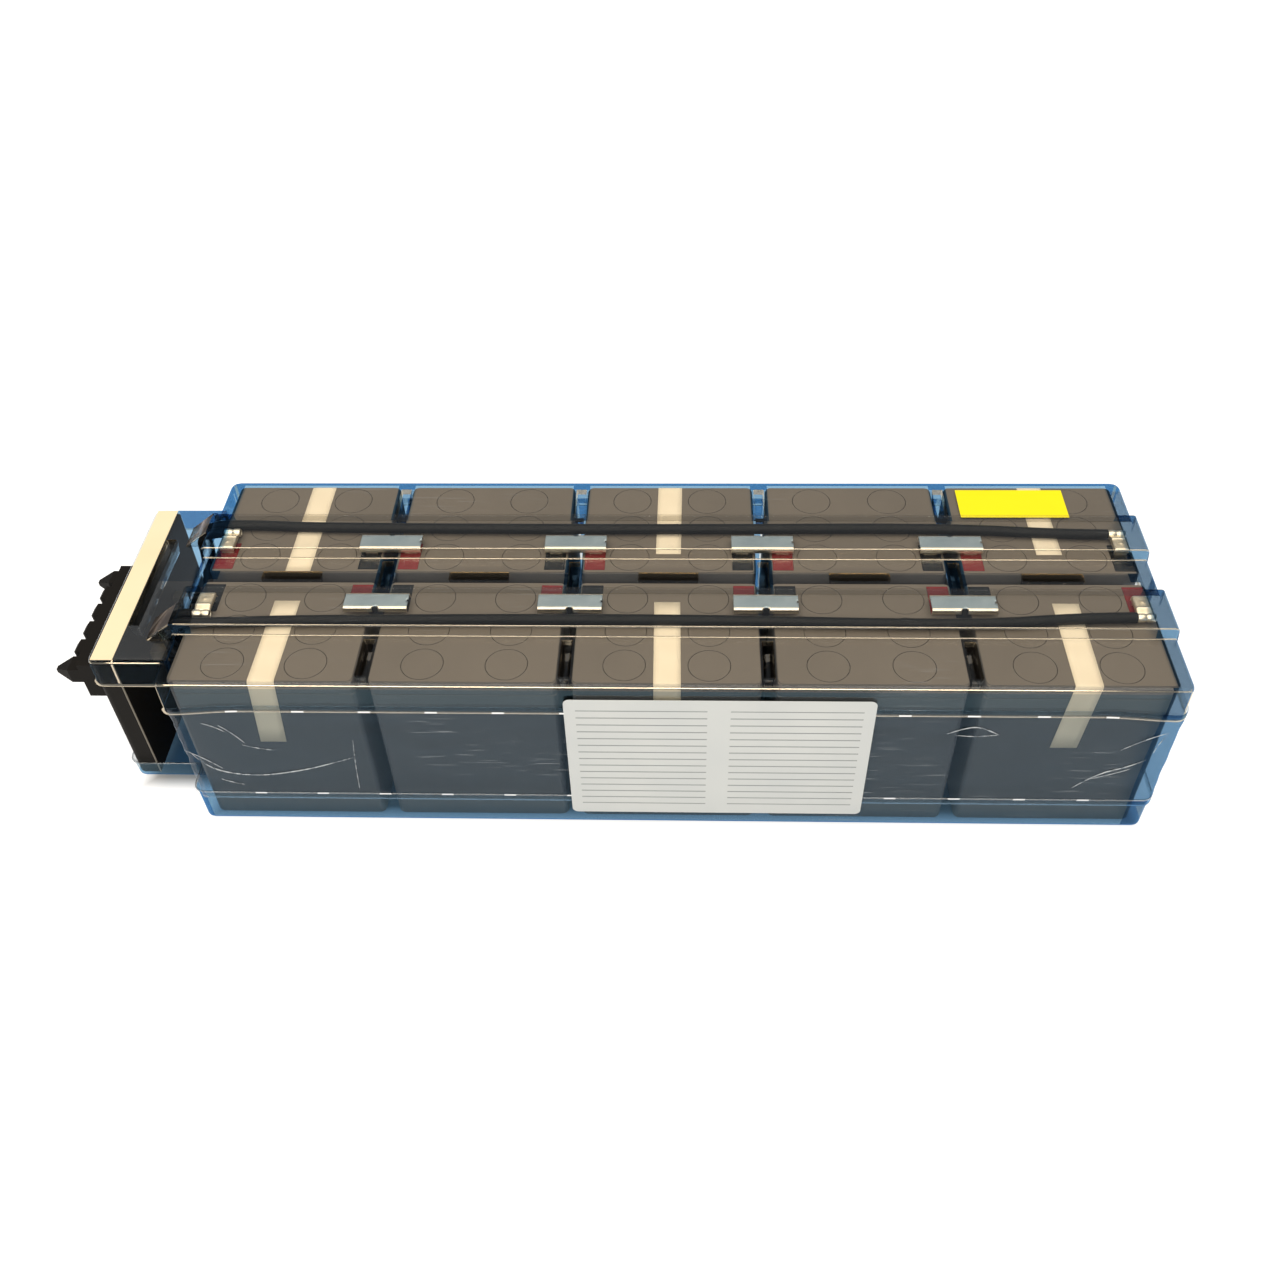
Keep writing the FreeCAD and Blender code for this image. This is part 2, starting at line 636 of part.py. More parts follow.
def top_label():
    """Blank coloured label on the lid's top, behind the back channel."""
    half = TOP_LABEL_LENGTH / 2
    centre = (BLOCKS_PER_ROW - 1) / 2 * PITCH + TOP_LABEL_OFFSET
    x = (centre - half, centre + half)
    outer = MAIN_HALF_WIDTH - TOP_LABEL_SETBACK
    return box(x, (outer - TOP_LABEL_WIDTH, outer), (LID_TOP, LID_TOP + LABEL_THICKNESS))


def connector_label():
    """Blank paper label on the compartment's top, over the connector plate."""
    half = COMPARTMENT_WIDTH / 2 - CASE_EDGE
    x = (COMPARTMENT_LEFT + CASE_EDGE, PLATE_BACK)
    z = (COMPARTMENT_TOP, COMPARTMENT_TOP + LABEL_THICKNESS)
    return box(x, (-half, half), z)


os.makedirs("parts", exist_ok=True)

seals = {"positive": [], "negative": []}
tabs = []
for row, side in ROWS.items():
    left_sign, right_sign = ("positive", "negative") if side > 0 else ("negative", "positive")
    for index in range(BLOCKS_PER_ROW):
        save(block_case(index, side), f"battery_case_{row}_{index + 1}")
        save(block_lid(index, side), f"battery_lid_{row}_{index + 1}")
        for x, sign in zip(seal_centres(index), (left_sign, right_sign)):
            seals[sign].append(seal_pocket(x, side, 0))
            tabs.append(terminal_tab(x, side))
    for index in range(BLOCKS_PER_ROW - 1):
        save(link_bar(index, side), f"link_bar_{row}_{index + 1}")
    save(flag_terminal(seal_centres(0)[0], side), f"flag_terminal_{row}_left")
    save(flag_terminal(seal_centres(BLOCKS_PER_ROW - 1)[1], side), f"flag_terminal_{row}_right")
    leads = [long_lead(side, LEAD_SAG[row]), short_lead(side)]
    save(Part.makeCompound(leads), f"leads_{row}")
    for index in (0, BLOCKS_PER_ROW // 2, BLOCKS_PER_ROW - 1):
        runs_on = side > 0 and index == 0
        margin = LONG_STRIP_MARGIN if runs_on else STRIP_INNER_MARGIN
        save(paper_strip(index, side, margin), f"paper_strip_{row}_{index + 1}")
save(Part.makeCompound(seals["positive"]), "positive_terminal_seals")
save(Part.makeCompound(seals["negative"]), "negative_terminal_seals")
save(Part.makeCompound(tabs), "terminal_tabs")
save(case_lid(), "case_lid")
save(case_tray(), "case_tray")
save(seam_film(), "seam_film")
save(connector_housing(), "connector_housing")
save(Part.makeCompound([contact(y) for y in contact_places()]), "connector_contacts")
save(side_label(), "side_label")
save(top_label(), "top_label")
save(connector_label(), "connector_label")
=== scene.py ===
import math
from functools import partial

import bmesh
import bpy
from mathutils import Matrix, Vector, noise


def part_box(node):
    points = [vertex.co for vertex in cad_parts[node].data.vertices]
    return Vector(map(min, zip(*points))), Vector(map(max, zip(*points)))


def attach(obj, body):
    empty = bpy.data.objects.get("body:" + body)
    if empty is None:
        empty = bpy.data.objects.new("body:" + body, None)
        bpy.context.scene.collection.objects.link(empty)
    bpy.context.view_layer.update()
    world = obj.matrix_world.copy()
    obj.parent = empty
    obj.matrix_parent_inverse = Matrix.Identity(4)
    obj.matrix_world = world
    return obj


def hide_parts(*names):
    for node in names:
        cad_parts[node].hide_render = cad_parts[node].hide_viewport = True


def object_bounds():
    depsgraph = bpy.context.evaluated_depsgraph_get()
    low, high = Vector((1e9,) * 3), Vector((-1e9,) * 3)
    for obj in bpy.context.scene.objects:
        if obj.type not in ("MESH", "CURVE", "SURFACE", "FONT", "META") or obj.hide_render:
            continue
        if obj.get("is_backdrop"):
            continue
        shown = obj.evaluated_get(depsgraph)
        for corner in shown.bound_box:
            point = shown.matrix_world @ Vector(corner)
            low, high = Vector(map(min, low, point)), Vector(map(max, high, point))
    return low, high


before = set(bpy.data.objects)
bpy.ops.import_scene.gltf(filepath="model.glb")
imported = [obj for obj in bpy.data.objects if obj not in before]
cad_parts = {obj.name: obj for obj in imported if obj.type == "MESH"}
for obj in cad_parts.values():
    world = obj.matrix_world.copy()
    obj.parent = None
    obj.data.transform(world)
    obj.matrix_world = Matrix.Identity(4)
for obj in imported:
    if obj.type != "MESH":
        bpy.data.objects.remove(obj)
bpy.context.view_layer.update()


# Camera, floor and studio light
# The module lies on a pale painted floor under a wide warm softbox and a narrow one, in a cool room.
# The camera stands in front of it and looks down at about 45 degrees.
scene = bpy.context.scene
scene.view_settings.view_transform = "Standard"
camera_data = bpy.data.cameras.new("camera")
camera_data.sensor_width = 36.0
camera_data.lens = 35.656
camera = bpy.data.objects.new("camera", camera_data)
camera.location = (0.04408, -0.47836, 0.53981)
camera.rotation_euler = [math.radians(angle) for angle in (44.801, 1.230, 1.620)]
scene.collection.objects.link(camera)
scene.camera = camera


def linear(code):
    """A linear RGBA colour from an sRGB hex value."""
    parts = [int(code[start:start + 2], 16) / 255 for start in (1, 3, 5)]
    return tuple(p / 12.92 if p <= 0.04045 else ((p + 0.055) / 1.055) ** 2.4 for p in parts) + (1.0,)


def add_node(tree, kind, settings):
    """Adds one shader node and fills its named properties and sockets.

    A socket takes a number, a colour as an sRGB hex value, an output to link in, or a node, which stands for
    its main output: the colour where it mixes colours."""
    made = tree.nodes.new("ShaderNode" + kind)
    for name, value in settings.items():
        if isinstance(value, bpy.types.Node):
            value = value.outputs[2 if value.bl_idname == "ShaderNodeMix" else 0]
        if isinstance(value, bpy.types.NodeSocket):
            tree.links.new(value, made.inputs[name])
        elif isinstance(name, int) or name in made.inputs:
            made.inputs[name].default_value = linear(value) if isinstance(value, str) else value
        else:
            setattr(made, name, value)
    return made


def maths(add, operation, *values):
    """Adds a node that does one sum with numbers, nodes or outputs."""
    return add("Math", {"operation": operation, **dict(enumerate(values))})


def start_material(name):
    """A new material, a function that adds nodes to it, and the place on the object that patterns go by."""
    made = bpy.data.materials.new(name)
    made.use_nodes = True
    made.node_tree.nodes.clear()
    add = partial(add_node, made.node_tree)
    return made, add, add("TexCoord", {}).outputs["Object"]


# Painted floor: matt and nearly white. What looks at it directly also sees a little of its own light,
# so that it stays white round the module and keeps the soft shadow. Right under the module it has none.
# The module's two footprints are given by their middle along it, half length and half width, in metres.
footprints = ((0.036, 0.241, 0.074), (-0.22, 0.03, 0.056))
floor_paint, add, place = start_material("matt white floor paint")
path = add("LightPath", {})
mirrored = maths(add, "MAXIMUM", path.outputs["Is Glossy Ray"], path.outputs["Is Transmission Ray"])
seen = maths(add, "MAXIMUM", path.outputs["Is Camera Ray"], mirrored)
spot = add("SeparateXYZ", {0: place})
outside = []
for middle, half_long, half_wide in footprints:
    beside = []
    for axis, centre, half in (("X", middle, half_long), ("Y", 0.0, half_wide)):
        shift = maths(add, "ABSOLUTE", maths(add, "SUBTRACT", spot.outputs[axis], centre))
        beside.append(maths(add, "SUBTRACT", shift, half))
    outside.append(maths(add, "MAXIMUM", *beside))
away = maths(add, "MINIMUM", *outside)
level = add("MapRange", {"Value": away, "From Min": -0.006, "From Max": 0.002, "To Max": 0.66})
reach = add("VectorMath", {"operation": "LENGTH", 0: place})
far = add("MapRange", {"Value": reach.outputs["Value"], "From Min": 0.45, "From Max": 1.4})
glow = maths(add, "MULTIPLY", seen, maths(add, "MAXIMUM", level, far))
own = add("Emission", {"Color": "#ffffff", "Strength": glow})
paint = add("BsdfDiffuse", {"Color": "#c8c9ca"})
both = add("AddShader", {0: paint, 1: own})
add("OutputMaterial", {"Surface": both})

floor_half = 8
floor_corners = [(x * floor_half, y * floor_half, 0) for x, y in ((-1, -1), (1, -1), (1, 1), (-1, 1))]
floor_mesh = bpy.data.meshes.new("floor")
floor_mesh.from_pydata(floor_corners, [], [(0, 1, 2, 3)])
floor_mesh.materials.append(floor_paint)
floor = bpy.data.objects.new("floor", floor_mesh)
floor.location.z = -0.0004
scene.collection.objects.link(floor)
floor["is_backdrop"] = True

room = bpy.data.worlds.new("room")
room.use_nodes = True
room.node_tree.nodes.clear()
add = partial(add_node, room.node_tree)
path = add("LightPath", {})
dim = add("Background", {"Color": "#e3ebf4", "Strength": 0.34})
white = add("Background", {"Color": "#ffffff", "Strength": 1.0})
sky = add("MixShader", {0: path.outputs["Is Camera Ray"], 1: dim, 2: white})
add("OutputWorld", {"Surface": sky})
scene.world = room

for name, place, turn, size, power, colour in (
    ("softbox", (-0.14, 0.0, 1.30), (0, 0, 0), (2.4, 1.2), 19.0, "#fff3e0"),
    ("front_strip", (-0.12, -0.95, 0.95), (45, 0, 0), (1.5, 0.4), 10.0, "#fff4e4"),
):
    lamp_data = bpy.data.lights.new(name, "AREA")
    lamp_data.shape = "RECTANGLE"
    lamp_data.size, lamp_data.size_y = size
    lamp_data.energy = power
    lamp_data.color = linear(colour)[:3]
    lamp = bpy.data.objects.new(name, lamp_data)
    lamp.location = place
    lamp.rotation_euler = [math.radians(angle) for angle in turn]
    scene.collection.objects.link(lamp)


# Block cases
# Ten sealed lead-acid blocks, 90 by 70 mm, in two rows. Each case is injection-moulded ABS with round
# corners and stands on the tray's floor, a few millimetres from its neighbours.


def rounded_loop(half_x, half_y, radius, z, steps=5):
    """Points of a rectangle with round corners at one height, anticlockwise, in millimetres."""
    points = []
    for quarter, (side_x, side_y) in enumerate(((1, 1), (-1, 1), (-1, -1), (1, -1))):
        for step in range(steps + 1):
            angle = math.radians(90 * (quarter + step / steps))
            x = side_x * (half_x - radius) + radius * math.cos(angle)
            y = side_y * (half_y - radius) + radius * math.sin(angle)
            points.append((x, y, z))
    return points


def stack_loops(loops):
    """Points and faces of a closed solid through loops of equal length, capped at both ends."""
    count = len(loops[0])
    points = [point for loop in loops for point in loop]
    faces = []
    for level in range(len(loops) - 1):
        low = level * count
        for index in range(count):
            after = (index + 1) % count
            faces.append((low + index, low + after, low + count + after, low + count + index))
    faces.append(tuple(reversed(range(count))))
    faces.append(tuple(range(len(points) - count, len(points))))
    return points, faces


def build_mesh(name, points, faces, sharp=40):
    """A smooth-shaded mesh from points in millimetres, with edges over the sharp angle left crisp."""
    mesh = bpy.data.meshes.new(name)
    mesh.from_pydata([Vector(point) * 0.001 for point in points], [], faces)
    mesh.polygons.foreach_set("use_smooth", [True] * len(mesh.polygons))
    mesh.set_sharp_from_angle(angle=math.radians(sharp))
    mesh.update()
    return mesh


def set_down(name, mesh, place, finish, *nodes):
    """Puts a piece into the module at a place in metres and stands it for CAD nodes; finish is not used."""
    piece = bpy.data.objects.new(name, mesh)
    piece.location = place
    scene.collection.objects.link(piece)
    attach(piece, "root")
    if nodes:
        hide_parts(*nodes)
    return piece


def foot(node):
    """The middle of a CAD node's underside, in metres."""
    low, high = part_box(node)
    middle = (low + high) / 2
    return middle.x, middle.y, low.z


# Moulded ABS, spark-eroded mould: warm grey, satin, with a fine even grain that breaks up the gloss. Painted
# light makes upper faces paler and warmer than the sides, which carry a cooler painted shade. The real grain
# is about 0.2 mm and is drawn at 0.7 mm so that it shows.
abs_grain, add, place = start_material("ABS moulded with a fine grain")
grain = add("TexNoise", {"Vector": place, "Scale": 1 / 0.0007, "Detail": 2.0})
cloud = add("TexNoise", {"Vector": place, "Scale": 1 / 0.045, "Detail": 3.0})
# Painted light: the sides get a darker, cooler painted shade and the upper faces a paler, warmer tone, by how
# far a face looks up.
sides = add("Mix", {"data_type": "RGBA", 0: cloud, 6: "#45464a", 7: "#525253"})
tops = add("Mix", {"data_type": "RGBA", 0: cloud, 6: "#645d54", 7: "#746c62"})
facing = add("SeparateXYZ", {0: add("NewGeometry", {}).outputs["Normal"]})
upward = add("MapRange", {"Value": facing.outputs["Z"], "From Min": 0.3, "From Max": 0.9})
tone = add("Mix", {"data_type": "RGBA", 0: upward, 6: sides, 7: tops})
rough = add("MapRange", {"Value": grain, "To Min": 0.52, "To Max": 0.57})
relief = add("Bump", {"Height": grain, "Strength": 0.03, "Distance": 0.00012})
skin = add("BsdfPrincipled", {"Base Color": tone, "Roughness": rough, "Normal": relief, "IOR": 1.53})
add("OutputMaterial", {"Surface": skin})

block_corner = 3.0
low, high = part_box("battery_case_front_1")
size = (high - low) * 1000
half = (size.x / 2, size.y / 2)
rings = []
for inset, z in ((1.3, 0), (0.4, 0.4), (0, 1.4), (0, size.z - 0.5), (0.35, size.z)):
    rings.append(rounded_loop(half[0] - inset, half[1] - inset, block_corner, z))
case_mesh = build_mesh("block_case", *stack_loops(rings))
case_mesh.materials.append(abs_grain)
for row in ("front", "back"):
    for number in range(1, 6):
        node = f"battery_case_{row}_{number}"
        set_down(f"block_case_{row}_{number}", case_mesh, foot(node), "abs_case", node)


# Block lids
# Each case is closed by a glued ABS lid with a groove at the seam. Six round vent caps stand flush in
# its top, two by three, and a recess at each end of the inner side takes a terminal.
low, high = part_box("battery_lid_front_1")
size = (high - low) * 1000
half = (size.x / 2, size.y / 2)
rings = []
for inset, z in ((0.7, 0), (0.7, 0.35), (0, 0.7), (0, size.z - 1.0), (0.35, size.z - 0.45),
                 (0.9, size.z - 0.3)):
    rings.append(rounded_loop(half[0] - inset, half[1] - inset, block_corner, z))
points, faces = stack_loops(rings)
body_mesh = build_mesh("block_lid_body", points, faces[:-1])


def add_spline(curve, kind, points):
    """Adds a spline along points in millimetres to a curve: a closed outline, or a smooth open line."""
    spline = curve.splines.new(kind)
    spline.points.add(len(points) - 1)
    for knot, point in zip(spline.points, points):
        knot.co = (*(value * 0.001 for value in point), 1)
    if kind == "POLY":
        spline.use_cyclic_u = True
    else:
        spline.order_u = 3
        spline.use_endpoint_u = True
    return spline


# The top sheet of the lid is one flat curve: its outline, two terminal recesses and six vent caps, each
# cap a disc of about 20 mm inside a ring groove.
recess_place = (38.15, 22.8)
recess_half = (5.35, 10.1)
groove_radii = (10.3, 10.05)
sheet = bpy.data.curves.new("block_lid_top", "CURVE")
sheet.dimensions = "2D"
sheet.fill_mode = "BOTH"
sheet.extrude = 0.0003
sheet.bevel_depth = 0.0001
sheet.offset = -0.0001
outlines = [rounded_loop(half[0] - 0.5, half[1] - 0.5, 2.6, 0)]
for side in (-1, 1):
    recess = rounded_loop(*recess_half, 0.4, 0, 2)
    outlines.append([(x + side * recess_place[0], y + recess_place[1], 0) for x, y, z in recess])
for column in (-20.3, 20.3):
    for line in (-23.0, 0.0, 23.0):
        for radius in groove_radii:
            ring = []
            for step in range(40):
                angle = math.tau * step / 40
                ring.append((column + radius * math.cos(angle), line + radius * math.sin(angle), 0))
            outlines.append(ring)
for outline in outlines:
    add_spline(sheet, "POLY", outline)
flat = bpy.data.objects.new("block_lid_top", sheet)
scene.collection.objects.link(flat)
top_mesh = bpy.data.meshes.new_from_object(flat.evaluated_get(bpy.context.evaluated_depsgraph_get()))
top_mesh.transform(Matrix.Translation((0, 0, (size.z - 0.4) * 0.001)))
bpy.data.objects.remove(flat)

joined = bmesh.new()
joined.from_mesh(body_mesh)
joined.from_mesh(top_mesh)
lid_mesh = bpy.data.meshes.new("block_lid")
joined.to_mesh(lid_mesh)
joined.free()
lid_mesh.materials.clear()
lid_mesh.materials.append(abs_grain)
lid_mesh.set_sharp_from_angle(angle=math.radians(40))
for row, turn in (("front", 0.0), ("back", math.pi)):
    for number in range(1, 6):
        node = f"battery_lid_{row}_{number}"
        lid = set_down(f"block_lid_{row}_{number}", lid_mesh, foot(node), "abs_case", node)
        lid.rotation_euler.z = turn


# Terminal seals
# Epoxy resin cast into the recesses round the terminals, red for positive and black for negative.
# It sets level with the lid and stays a little glossy.


def dress(node, finish):
    """Gives a CAD node its finish."""
    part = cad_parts[node]
    for slot in part.material_slots:
        slot.material = finish
    return part


def mottled(name, size, detail, dark, light, settings, rough=None, relief=None, drawn=None):
    """A material that a cloudy pattern of a size in millimetres mottles from a dark to a light colour.

    The pattern may also move the roughness between two values, and raise a relief of a strength and a depth
    in millimetres. Where the relief is drawn, it has a pattern of its own: its waves per metre along the
    piece, its width across in millimetres, and its detail. Gives the material and, for more work on it, the
    function that adds nodes, the place, the tone and the shader."""
    made, add, place = start_material(name)
    cloud = add("TexNoise", {"Vector": place, "Scale": 1000 / size, "Detail": detail})
    tone = add("Mix", {"data_type": "RGBA", 0: cloud, 6: dark, 7: light})
    look = {**settings, "Base Color": tone}
    if rough:
        least, most = rough
        look["Roughness"] = add("MapRange", {"Value": cloud, "To Min": least, "To Max": most})
    if relief:
        height = cloud
        if drawn:
            waves, width, fineness = drawn
            lines = 1000 / width
            along = add("Mapping", {"Vector": place, "Scale": (waves, lines, lines)})
            height = add("TexNoise", {"Vector": along, "Scale": 1.0, "Detail": fineness})
        strength, depth = relief
        look["Normal"] = add("Bump", {"Height": height, "Strength": strength, "Distance": depth * 0.001})
    skin = add("BsdfPrincipled", look)
    add("OutputMaterial", {"Surface": skin})
    return made, add, place, tone, skin


# Cast epoxy: deep colour, a soft gloss, and a surface that sank unevenly as it cured, in waves of 4 mm.
for node, dark, light in (
    ("positive_terminal_seals", "#6c2021", "#833032"),
    ("negative_terminal_seals", "#121416", "#1f2225"),
):
    resin = mottled("cast epoxy, " + node.split("_")[0], 4, 2.0, dark, light,
                    {"IOR": 1.55, "Roughness": 0.16}, relief=(0.15, 0.6))[0]
    dress(node, resin)


# Tabs, link bars and flag terminals
# Bent brass tabs rise from the seals. Folded link bars of tin-plated steel sheet push over the tabs of
# neighbouring blocks, and a crimped flag terminal sits on the tab at each row end.

# Tin plate on rolled sheet: pale cool metal with faint drawing lines along the strip, half a millimetre
# apart, and a slightly uneven dull bloom, in clouds of 6 mm.
tin_plate = mottled("tin-plated rolled steel", 6, 3.0, "#9fb1bb", "#bfccd3", {"Metallic": 1.0},
                    rough=(0.48, 0.64), relief=(0.25, 0.05), drawn=(60.0, 0.5, 2.0))[0]

# Plated brass: the same tin plate, warmer where it is thin, dented by the crimping tool every 2 mm or so.
crimped_brass = mottled("tin-plated brass, crimped", 2.2, 2.0, "#d8c8a6", "#f6eedd",
                        {"Metallic": 1.0, "Roughness": 0.46}, relief=(0.5, 0.3))[0]

# Painted highlight: folds, lips and crimps carry a smoother tin painted cream-bright, in streaks about 3 mm
# across, standing in for the light they catch.
burnished = mottled("tin plate, burnished by the die", 3, 2.0, "#f2e6cb", "#fff9ec", {"Metallic": 1.0},
                    rough=(0.26, 0.42))[0]


def sheet_grid(rows, keep=None):
    """Points and faces of a sheet through rows of points, with the faces left out that keep turns down."""
    wide = len(rows[0])
    points = [point for row in rows for point in row]
    faces = []
    for row in range(len(rows) - 1):
        for column in range(wide - 1):
            first = row * wide + column
            face = (first, first + 1, first + wide + 1, first + wide)
            middle = sum((Vector(points[index]) for index in face), Vector()) / 4
            if keep is None or keep(middle):
                faces.append(face)
    return points, faces


def join_sheets(name, sheets, sharp=60):
    """One mesh from several sheets of points and faces, with the points that no face uses left out."""
    points = []
    faces = []
    for sheet_points, sheet_faces in sheets:
        used = sorted(set(index for face in sheet_faces for index in face))
        new = {index: len(points) + order for order, index in enumerate(used)}
        points += [sheet_points[index] for index in used]
        faces += [tuple(new[index] for index in face) for face in sheet_faces]
    return build_mesh(name, points, faces, sharp)


def fold_metal(name, sheets, side, bright, place, node):
    """Sets down folded sheet metal, mirrored for the front row, with a painted highlight where bright says.
    """
    if side < 0:
        sheets = [([(x, -y, z) for x, y, z in points], [face[::-1] for face in faces])
                  for points, faces in sheets]
    mesh = join_sheets(name, sheets)
    mesh.materials.append(tin_plate if "link" in name else crimped_brass)
    mesh.materials.append(burnished)
    for face in mesh.polygons:
        x, y, z = face.center * 1000
        face.material_index = 1 if bright(x, abs(y), z) else 0
    piece = set_down(name, mesh, place, "tinned_steel", node)
    thick = piece.modifiers.new("sheet metal", "SOLIDIFY")
    thick.thickness = 0.0007
    thick.offset = -1.0


# A link bar's section across: up one lip, over a round fold, across the plate and down the other lip. A
# round notch in the outer fold and a small one in one end tell the two ends apart in assembly.
link_top, link_low, fold = 3.0, 0.0, 1.4
link_half = 5.7
section = [(-link_half, link_low), (-link_half, 0.8)]
for angle in range(0, 91, 15):
    turned = math.radians(angle)
    section.append((-link_half + fold * (1 - math.cos(turned)), link_top - fold * (1 - math.sin(turned))))
section += [(y, link_top) for y in (-3.2, -2.0, -0.8, 0.8, 2.0, 3.2)]
section += [(-y, z) for y, z in reversed(section[:9])]
columns = (-16.0, -15.6, -13, -9, -5, -2.2, -1.55, -1.0, -0.3, 0.3, 1.0, 1.55, 2.2, 5, 9, 13,
           14.6, 15.2, 15.7, 16.0)
link_rows = [[(x, y, z) for x in columns] for y, z in section]


def link_metal(m):
    """Which faces of the link bar are metal: all but its two notches."""
    outer_notch = m.y > 4.1 and math.hypot(m.x, 0.8 * (m.y - link_half)) < 1.6
    end_notch = m.x > 15.1 and abs(m.y) < 0.9
    return not outer_notch and not end_notch


# A flag terminal's plate runs from a rolled inner lip, over a dimple that grips the tab and a stiffening
# bead, down to the neck. A crimp barrel with a shallow waist, as wide as the plate, closes round the lead.
flag_half, flag_lip, flag_level = 4.0, 1.9, 4.25
dimple_y = 5.0
barrel_y, barrel_z = 14.2, 2.3
flag_line = [(0.0, flag_lip), (0.0, 3.1), (0.12, 3.6), (0.45, 4.05)]
flag_line += [(y, flag_level) for y in (1.1, 2.0, 3.0, 3.8, 4.4, 5.0, 5.6, 6.2, 7.0)]
flag_line += [(8.0, 4.2), (8.5, 4.35), (9.0, 4.6), (9.5, 4.35), (10.0, 4.1), (10.8, 3.7), (11.6, 3.4)]
flag_line.append((12.6, 3.2))
flag_rows = []
for y, z in flag_line:
    row = []
    for x in (-4.0, -4.0, -3.75, -3.2, -2.4, -1.6, -1.0, -0.5, 0.0, 0.5, 1.0, 1.6, 2.4, 3.2, 3.75, 4.0, 4.0):
        dimple = 0.4 * math.exp(-(x * x + (y - dimple_y) ** 2) / 0.7)
        height = z + dimple - 0.6 * max(0.0, (abs(x) - 3.2) / 0.8) ** 2
        row.append((x, y, height))
    row[0] = (-flag_half, y, min(row[1][2], flag_lip))
    row[-1] = (flag_half, y, min(row[-2][2], flag_lip))
    flag_rows.append(row)
half_barrel = ((4.5, 1.9), (4.1, 2.15), (3.3, 2.3), (1.5, 2.3), (0.6, 2.1), (0.2, 1.95))
barrel_line = [(-x, radius) for x, radius in half_barrel] + list(reversed(half_barrel))
barrel_rows = []
for step in range(21):
    angle = math.radians(200 - 18 * step)
    barrel_rows.append([(x, barrel_y + radius * math.cos(angle), barrel_z + radius * math.sin(angle))
                        for x, radius in barrel_line])

dress("terminal_tabs", crimped_brass)
# The folds and lips of the link bars, and the lip, bead and crimp barrel of the flags, get the painted
# highlight.
for row, side in (("front", -1), ("back", 1)):
    for number in range(1, 5):
        node = f"link_bar_{row}_{number}"
        fold_metal(f"folded_link_{row}_{number}", [sheet_grid(link_rows, link_metal)], side,
                   lambda x, y, z: y > 4.4, foot(node), node)
    for end in ("left", "right"):
        node = f"flag_terminal_{row}_{end}"
        low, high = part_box(node)
        inner = low.y if side > 0 else high.y
        fold_metal(f"crimped_flag_{row}_{end}", [sheet_grid(flag_rows), sheet_grid(barrel_rows)], side,
                   lambda x, y, z: y < 0.9 or y > 11.8 or 8.4 < y < 9.3,
                   ((low.x + high.x) / 2, inner, low.z), node)


# Leads
# Four PVC-insulated stranded leads of 5.5 mm. A long one for each row lies along the block tops, a short
# one starts at the left flag, and all bend down over the block ends into the connector's lugs.

# Extruded PVC: soft black with a broad satin highlight and a faint chalky bloom, in clouds of 12 mm.
lead_pvc = mottled("extruded PVC insulation", 12, 4.0, "#0b0d0f", "#181a1c",
                   {"IOR": 1.53, "Roughness": 0.5, "Specular IOR Level": 0.18})[0]

# The middle of the two rows of blocks, where the module's own measures start, in metres.
module = (0.035625, 0.0001, 0.0)
lead_z, bend_z, lug_z = 105.85, 85.85, 67.4
for row, side, sag in (("front", -1, 2.0), ("back", 1, 0.8)):
    routes = [
        [(227.65, 31.05, lead_z), (205.15, 31.05, lead_z), (145.5, 35.2 + sag, lead_z),
         (0, 35.2 - sag, lead_z), (-184.3, 35.2, lead_z), (-218.25, 37.25, lead_z),
         (-250.5, 37.25, lead_z), (-250.5, 37.25, bend_z), (-249, 20.4, lug_z), (-262, 20.4, lug_z)],
        [(-236.65, 31.05, lead_z), (-250.5, 31.05, lead_z), (-250.5, 31.05, bend_z), (-249, 6.8, lug_z),
         (-262, 6.8, lug_z)],
    ]
    wire = bpy.data.curves.new("leads_" + row, "CURVE")
    wire.dimensions = "3D"
    wire.bevel_depth = 0.00275
    wire.bevel_resolution = 5
    wire.resolution_u = 10
    wire.use_fill_caps = True
    for route in routes:
        add_spline(wire, "NURBS", [(x, side * y, z) for x, y, z in route])
    wire.materials.append(lead_pvc)
    set_down("insulated_leads_" + row, wire, module, "lead_insulation", "leads_" + row)


# Paper strips
# Six strips of cream paper tape, 13 mm wide, stuck down the outer face of every other block and over its
# top edge. They were laid by hand, so some run a little askew.

# Crepe paper tape: warm cream, quite matt, stained in patches of 15 mm, with crinkles across the tape about
# 0.8 mm apart.
paper_tape = mottled("crepe paper tape", 15, 2.0, "#e6d8be", "#f6ead2", {"Roughness": 0.8, "IOR": 1.45},
                     relief=(0.35, 0.2), drawn=(120.0, 0.8, 3.0))[0]

strip_wide, strip_low, strip_top, block_face = 13.0, 58.8, 102.84, 73.75
turn_radius, turn_z = 1.04, 101.8

